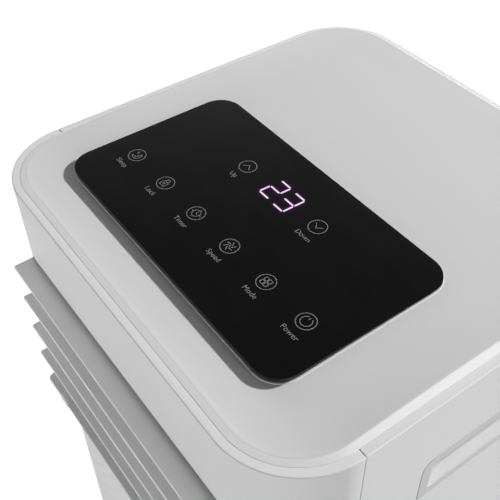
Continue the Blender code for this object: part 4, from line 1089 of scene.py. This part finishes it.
TANK_WALL = 0.0025
DRAIN_X, DRAIN_Z = -0.080, 0.068


def make_tank():
    low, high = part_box("water_tank")
    size, middle, wall = high - low, (low + high) / 2, TANK_WALL
    tank = slab("tank_shell", (size.x, size.y, 0.008, middle), low.z, high.z, "Z")
    inner = (size.x - 2 * wall, size.y - 2 * wall, 0.006, middle)
    tank = cut(tank, slab("hollow", inner, low.z + wall, high.z + 0.1, "Z"))
    post = cylinder("post", 0.003, (-0.080, -0.040, low.z + 0.001), (-0.080, -0.040, 0.190), 24)
    port = cylinder("port", 0.0065, (0, low.y - 0.01, 0.072), (0, low.y + 0.01, 0.072), 32)
    drain = cylinder("drain", 0.0065, (DRAIN_X, 0.130, DRAIN_Z), (DRAIN_X, 0.150, DRAIN_Z), 32)
    tank = cut(join(tank, post), port, drain)
    piece(rounded(tank, 0.0006), "tank", "clear", CLEAR, "water_tank")


def make_tank_face():
    """The tank's white front, with its grip, the window's slot and a scale of marks beside it."""
    low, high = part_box("tank_face")
    window_low, window_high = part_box("level_window")
    wall, width, height, centre, marks = TANK_WALL, 0.110, 0.032, (0, 0.176), 6
    size = (high.x - low.x, high.z - low.z, (low.z + high.z) / 2)
    face = slab("tank_front", (size[0], size[1], 0.003, (0, size[2]), 5), high.y - WALL, high.y)
    rim = hoop("rim", size, (0.001, 0.003), (0.006, 0.002), low.y, high.y - 0.001, 5)
    cup = (width + 2 * wall, height + 2 * wall, 0.008, centre, 6)
    cup = slab("cup", cup, low.y, high.y - 0.001)
    well = slab("well", (width, height, 0.007, centre), low.y + wall, high.y + 0.01)
    slot = box("slot", (window_low.x - GAP, 0.150, window_low.z - GAP),
               (window_high.x + GAP, 0.170, window_high.z + GAP))
    hole = cylinder("hole", 0.0095, (DRAIN_X, 0.150, DRAIN_Z), (DRAIN_X, 0.170, DRAIN_Z), 40)
    face = cut(join(face, rim, cup), well, slot, hole)
    piece(rounded(face, 0.0006), "tank", "white", WHITE, "tank_face")
    made = []
    for i in range(marks):
        z = window_low.z + 0.006 + (window_high.z - window_low.z - 0.012) * i / (marks - 1)
        reach = 0.006 if i in (0, marks - 1) else 0.004
        mark = (reach, 0.0007, 0.0003, (0.069 - reach / 2, z), 3)
        made.append(slab("mark", mark, high.y - 0.0002, high.y + 0.00005))
    piece(merged("level_marks", made), "tank", "grey", GREY)


# Casters, cord and small parts.


def mirrored(profile):
    """Half of a turned profile and then its mirror image."""
    return profile + [(radius, -height) for radius, height in reversed(profile)]


def make_casters():
    """Wheels with a soft tyre on a ribbed hub."""
    r, recess = 0.0026, 0.0022
    for place in ("front_left", "front_right", "rear_left", "rear_right"):
        name = "caster_wheel_" + place
        low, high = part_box(name)
        centre, radius, half = (low + high) / 2, (high.z - low.z) / 2, (high.x - low.x) / 2
        rim = half - 0.0004
        tread = mirrored([(0.0125, -rim)] + arc((radius - r, r - half), r, 270, 360, 6))
        tyre = turned("tyre_" + place, tread, centre, (1, 0, 0), ring=True)
        piece(tyre, name, "tyre_grey", TYRE, name)
        profile = mirrored([
            (0.0029, half), (0.0052, half), (0.0052, half - recess), (0.0098, half - recess),
            (0.0104, rim), (0.0125, rim),
        ])
        parts = [turned("hub", profile, centre, (1, 0, 0), ring=True)]
        for k in range(5):
            spoke = box("spoke", (-half + 0.0010, 0.0045, -0.0008), (half - 0.0010, 0.0105, 0.0008))
            turn = Matrix.Rotation(math.tau * k / 5, 4, "X")
            spoke.data.transform(Matrix.Translation(centre) @ turn)
            parts.append(spoke)
        piece(rounded(merged(f"hub_{place}_ribbed", parts), 0.0003, 2), name, "grey", GREY)
        keep("caster_fork_" + place, GREY, 0.0004)


def make_blower():
    """The fan wheel: a back plate with a hub cone, forty curved blades and a front ring."""
    low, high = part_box("blower_wheel")
    centre, radius = Vector((0, 0, (low.z + high.z) / 2)), (high.z - low.z) / 2
    back, front, lip, count = -0.062, high.y, radius - 0.0006, 40
    disc = [
        (0.0046, 0.028), (0.010, 0.028), (0.0112, 0.006), (0.030, 0.0022), (lip, 0.002),
        (radius, 0.0014), (radius, 0.0004), (lip, 0), (0.010, 0), (0.010, -0.004), (0.0046, -0.004),
    ]
    rim = [
        (radius, 0), (radius, -0.0030), (0.0855, -0.0030), (0.0855, -0.0014), (0.070, -0.0014),
        (0.070, 0),
    ]
    parts = []
    for name, profile, y in (("plate", disc, back), ("ring", rim, front)):
        place = centre + Vector((0, y, 0))
        parts.append(turned(name, profile, place, (0, 1, 0), 96, ring=True))
    outline = arc((0.079, -0.016), 0.0182, 66, 110, 8) + arc((0.079, -0.016), 0.0172, 110, 66, 8)
    for k in range(count):
        blade = prism("blade", [outline], back + 0.001, front - 0.0008, "Y")
        turn = Matrix.Rotation(math.tau * k / count, 4, "Y")
        blade.data.transform(Matrix.Translation(centre) @ turn)
        parts.append(blade)
    piece(merged("fan_wheel", parts), "fan", "dark", DARK, "blower_wheel")


CORD_Y = 0.1700
HOOK_X, HOOK_Z = 0.060, 0.655


def make_cord():
    """The cord, from its gland up beside the grille and round the two hooks."""
    inner_y, outer_y, wind, rise_x, steps = 0.1670, 0.1723, 0.0165, 0.124, 22
    path = smooth_path([
        (0.096, 0.154, 0.218), (0.096, 0.164, 0.218), (0.103, 0.1695, 0.218),
        (0.118, CORD_Y, 0.222), (rise_x, CORD_Y, 0.238), (rise_x, CORD_Y, 0.340),
        (rise_x, CORD_Y, 0.500), (rise_x, 0.1695, 0.600), (0.112, inner_y, 0.630),
        (0.088, inner_y, 0.640),
    ])
    for side, start, end, y in (
        (1, 0, 90, inner_y), (-1, 90, 270, inner_y), (1, 270, 450, outer_y), (-1, 90, 200, outer_y)
    ):
        winding = arc((side * HOOK_X, HOOK_Z), wind, start, end, steps)
        path += [Vector((x, y, z)) for x, z in winding]
    tail = [
        path[-1], (-0.084, 0.1718, 0.640), (-0.102, 0.1706, 0.634), (-0.118, CORD_Y, 0.628),
        (-0.1236, CORD_Y, 0.620), (-0.124, CORD_Y, 0.6135),
    ]
    path += smooth_path(tail, 5)[1:]
    piece(tube("supply_cord", path, 0.00255), "body", "rubber", BLACK, "power_cord")


def make_plug():
    low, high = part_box("power_plug")
    x, y = (low.x + high.x) / 2, (low.y + high.y) / 2
    grip = box("grip", (x - 0.013, y - 0.006, 0.570), (x + 0.013, y + 0.006, 0.597))
    sleeve = [(0, high.z), (0.0035, high.z)]
    for k in range(5):
        top, grow = high.z - 0.001 - 0.0032 * k, 0.0003 * k
        sleeve += [(0.0043 + grow, top), (0.0043 + grow, top - 0.0020), (0.0036 + grow, top - 0.0024)]
    sleeve += [(0.0060, 0.5965), (0.0060, 0.594), (0, 0.594)]
    parts = [rounded(grip, 0.0028, 5), turned("sleeve", sleeve, (x, y, 0), segments=40)]
    piece(merged("plug_body", parts), "body", "rubber", BLACK, "power_plug")
    pin = [(0, 0.5705), (0.0022, 0.5705), (0.0022, low.z + 0.0014), (0.0012, low.z), (0, low.z)]
    pins = [turned("pin", pin, (x + across, y, 0), segments=32) for across in (-0.0095, 0.0095)]
    piece(merged("plug_pins", pins), "body", "steel", STEEL)


def make_hooks():
    for end, side in (("left", -1), ("right", 1)):
        name = "cord_hook_" + end
        low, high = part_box(name)
        x = side * HOOK_X
        back, front = (x - 0.005, low.y, HOOK_Z - 0.011), (x + 0.005, high.y - 0.0005, HOOK_Z + 0.011)
        plate = (0.032, 0.032, 0.005, (x + side * 0.010, HOOK_Z), 6)
        plate = slab("plate", plate, high.y - 0.0018, high.y)
        foot = slab("foot", (0.020, 0.030, 0.003, (x, HOOK_Z), 5), low.y, low.y + 0.0008)
        hook = join(box("cord_cleat_" + end, back, front), plate, foot)
        piece(rounded(hook, 0.0003, 2), "body", "white", WHITE, name)


def make_screws():
    """Cross-head screws, sunk in the corners of the back."""
    places = [(x, z) for x in (-0.128, 0.128) for z in (0.215, 0.430)]
    profile = [(0, 0.0004), (0.0024, 0.0003), (0.0034, -0.0001), (0.0036, -0.0006), (0, -0.0006)]
    for i, (x, z) in enumerate(places + [(-0.100, 0.680), (0.100, 0.680)]):
        head = turned(f"back_screw_{i + 1}", profile, (x, BACK_Y + 0.0003, z), (0, 1, 0), 40)
        for wide, tall in ((0.0017, 0.00035), (0.00035, 0.0017)):
            low = (x - wide, BACK_Y + 0.0001, z - tall)
            head = cut(head, box("slot", low, (x + wide, BACK_Y + 0.01, z + tall)))
        piece(head, "body", "steel", STEEL)


def make_hose():
    corners = [
        (-0.016, -0.100, 0.1115), (-0.016, -0.100, 0.135), (-0.050, -0.112, 0.175),
        (-0.110, -0.110, 0.204), (-0.146, -0.070, 0.216), (-0.150, 0.000, 0.216),
        (-0.150, 0.070, 0.218), (-0.150, 0.095, 0.245), (-0.150, 0.095, 0.350),
        (-0.150, 0.095, 0.480), (-0.150, 0.095, 0.590), (-0.140, 0.108, 0.622),
        (-0.120, 0.126, 0.627), (-0.1015, 0.127, 0.627),
    ]
    piece(tube("pump_hose", smooth_path(corners), 0.0041), "body", "hose", HOSE, "supply_hose")


def keep_cad_nodes():
    """The pieces whose CAD shape is already right."""
    for name in ("outlet_frame",) + tuple(f"vane_{i}" for i in range(1, 6)):
        keep(name, WHITE_INNER)
    for name in ("air_duct", "scroll_front", "scroll_rear", "louvre_link", "vane_link", "water_tray",
                 "drip_tray", "pad_frame", "dust_filter", "power_box", "drain_plug", "tank_valve"):
        keep(name, GREY)
    for name in ("pump", "float", "control_base"):
        keep(name, DARK, 0.0002)
    for name in ("fan_motor", "fan_shaft", "vane_motor"):
        keep(name, STEEL)
    keep("level_window", CLEAR, 0.0003)
    keep("ice_pack", ICE)
    keep("control_board", BOARD)


# Stage, light and camera.

CAMERA_HEADING, CAMERA_PITCH, CAMERA_ROLL = 55.181, 44.473, -1.283  # degrees
CAMERA_PLACE = Vector((0.3041, -0.2708, RIM_Z + 0.3430))
CAMERA_LENS = 58.58


def make_camera():
    data = bpy.data.cameras.new("camera")
    data.lens, data.sensor_width = CAMERA_LENS, 36
    camera = link("camera", data)
    place = Matrix.Translation(CAMERA_PLACE)
    for angle, axis in ((CAMERA_HEADING, "Z"), (90 - CAMERA_PITCH, "X"), (CAMERA_ROLL, "Z")):
        place @= Matrix.Rotation(math.radians(angle), 4, axis)
    camera.matrix_world = place
    bpy.context.scene.camera = camera


def area_light(name, heading, elevation, distance, size, power):
    """A round light that faces the top of the body. Heading 0 is behind it and 90 on its right."""
    data = bpy.data.lights.new(name, "AREA")
    data.shape, data.size, data.energy = "DISK", size, power
    lamp = link(name, data)
    a, e = math.radians(heading), math.radians(elevation)
    back = Vector((math.sin(a) * math.cos(e), math.cos(a) * math.cos(e), math.sin(e)))
    lamp.location = Vector((0, 0, 0.6)) + back * distance
    lamp.rotation_mode = "QUATERNION"
    lamp.rotation_quaternion = back.to_track_quat("Z", "Y")
    return lamp


WORLD_LIGHT = 0.05
FLOOR_BOUNCE = 0.32
SHEEN = 40.0
LOUVRE_BEAM = 0.021
WHITE_BACKGROUND = 1.1
WORLD_SHINE = 0.9  # share of the white background that reflections see
FLOOR_SHINE = 0.3
LAMPS = (  # name, heading, elevation, size, power
    ("key", 14, 30, 0.22, 110.0),
    ("right", 75, 20, 1.2, 11.0),
    ("right_front", 122, 5, 1.2, 10.0),
    ("front", 192, 4, 1.2, 25.0),
    ("left", 276, 12, 1.2, 15.0),
)


def lit_white(tree, soft, share, output):
    """White for the camera, dimmer for reflections, and the soft light for everything else."""
    white, path, mix, shine = (
        tree.nodes.new("ShaderNode" + kind) for kind in ("Emission", "LightPath", "MixShader", "Math")
    )
    white.inputs["Strength"].default_value = WHITE_BACKGROUND
    shine.operation = "MULTIPLY_ADD"
    shine.inputs[1].default_value = share
    for source, target in (
        (path.outputs["Is Glossy Ray"], shine.inputs[0]),
        (path.outputs["Is Camera Ray"], shine.inputs[2]), (shine.outputs[0], mix.inputs[0]),
        (soft, mix.inputs[1]), (white.outputs[0], mix.inputs[2]),
        (mix.outputs[0], tree.nodes[output].inputs["Surface"]),
    ):
        tree.links.new(source, target)


def make_stage():
    bm = bmesh.new()
    bmesh.ops.create_circle(bm, cap_ends=True, radius=30, segments=96)
    floor = from_bmesh("floor", bm)
    n = Nodes("floor_paint")
    tone = n.spread(n.noise(0.8, 3), 0.90, 0.92)
    n.set(Base_Color=n.mix(tone, (0.20,) * 3, (0.24,) * 3), Roughness=0.8,
          Emission_Color=(1, 1, 1, 1), Emission_Strength=FLOOR_BOUNCE)
    lit_white(n.tree, n.shader.outputs[0], FLOOR_SHINE, "Material Output")
    floor.data.materials.append(n.material)

    world = bpy.data.worlds.new("studio")
    bpy.context.scene.world = world
    world.use_nodes = True
    soft = world.node_tree.nodes["Background"]
    soft.inputs["Color"].default_value = (1, 1, 1, 1)
    soft.inputs["Strength"].default_value = WORLD_LIGHT
    lit_white(world.node_tree, soft.outputs[0], WORLD_SHINE, "World Output")
    bpy.context.scene.view_settings.view_transform = "Standard"

    for name, heading, elevation, size, power in LAMPS:
        area_light(name, heading, elevation, 3.0, size, power).visible_glossy = False
    area_light("sheen", 190, 55, 3.0, 1.2, SHEEN).visible_diffuse = False
    beam = area_light("louvre_beam", 184, 42, 1.2, 0.40, LOUVRE_BEAM)
    beam.location.z -= 0.178
    beam.data.shape, beam.data.size_y, beam.data.spread = "RECTANGLE", 0.09, math.radians(6)


for make in (
    make_front_shell, make_lower_front, make_rear_shell, make_handles, make_base, make_cover,
    make_glass, make_keys, make_display, make_louvres, make_grille, make_filter, make_pad,
    make_tank, make_tank_face, make_casters, make_blower, make_cord, make_plug, make_hooks,
    make_screws, make_hose, keep_cad_nodes, make_stage, make_camera,
):
    make()
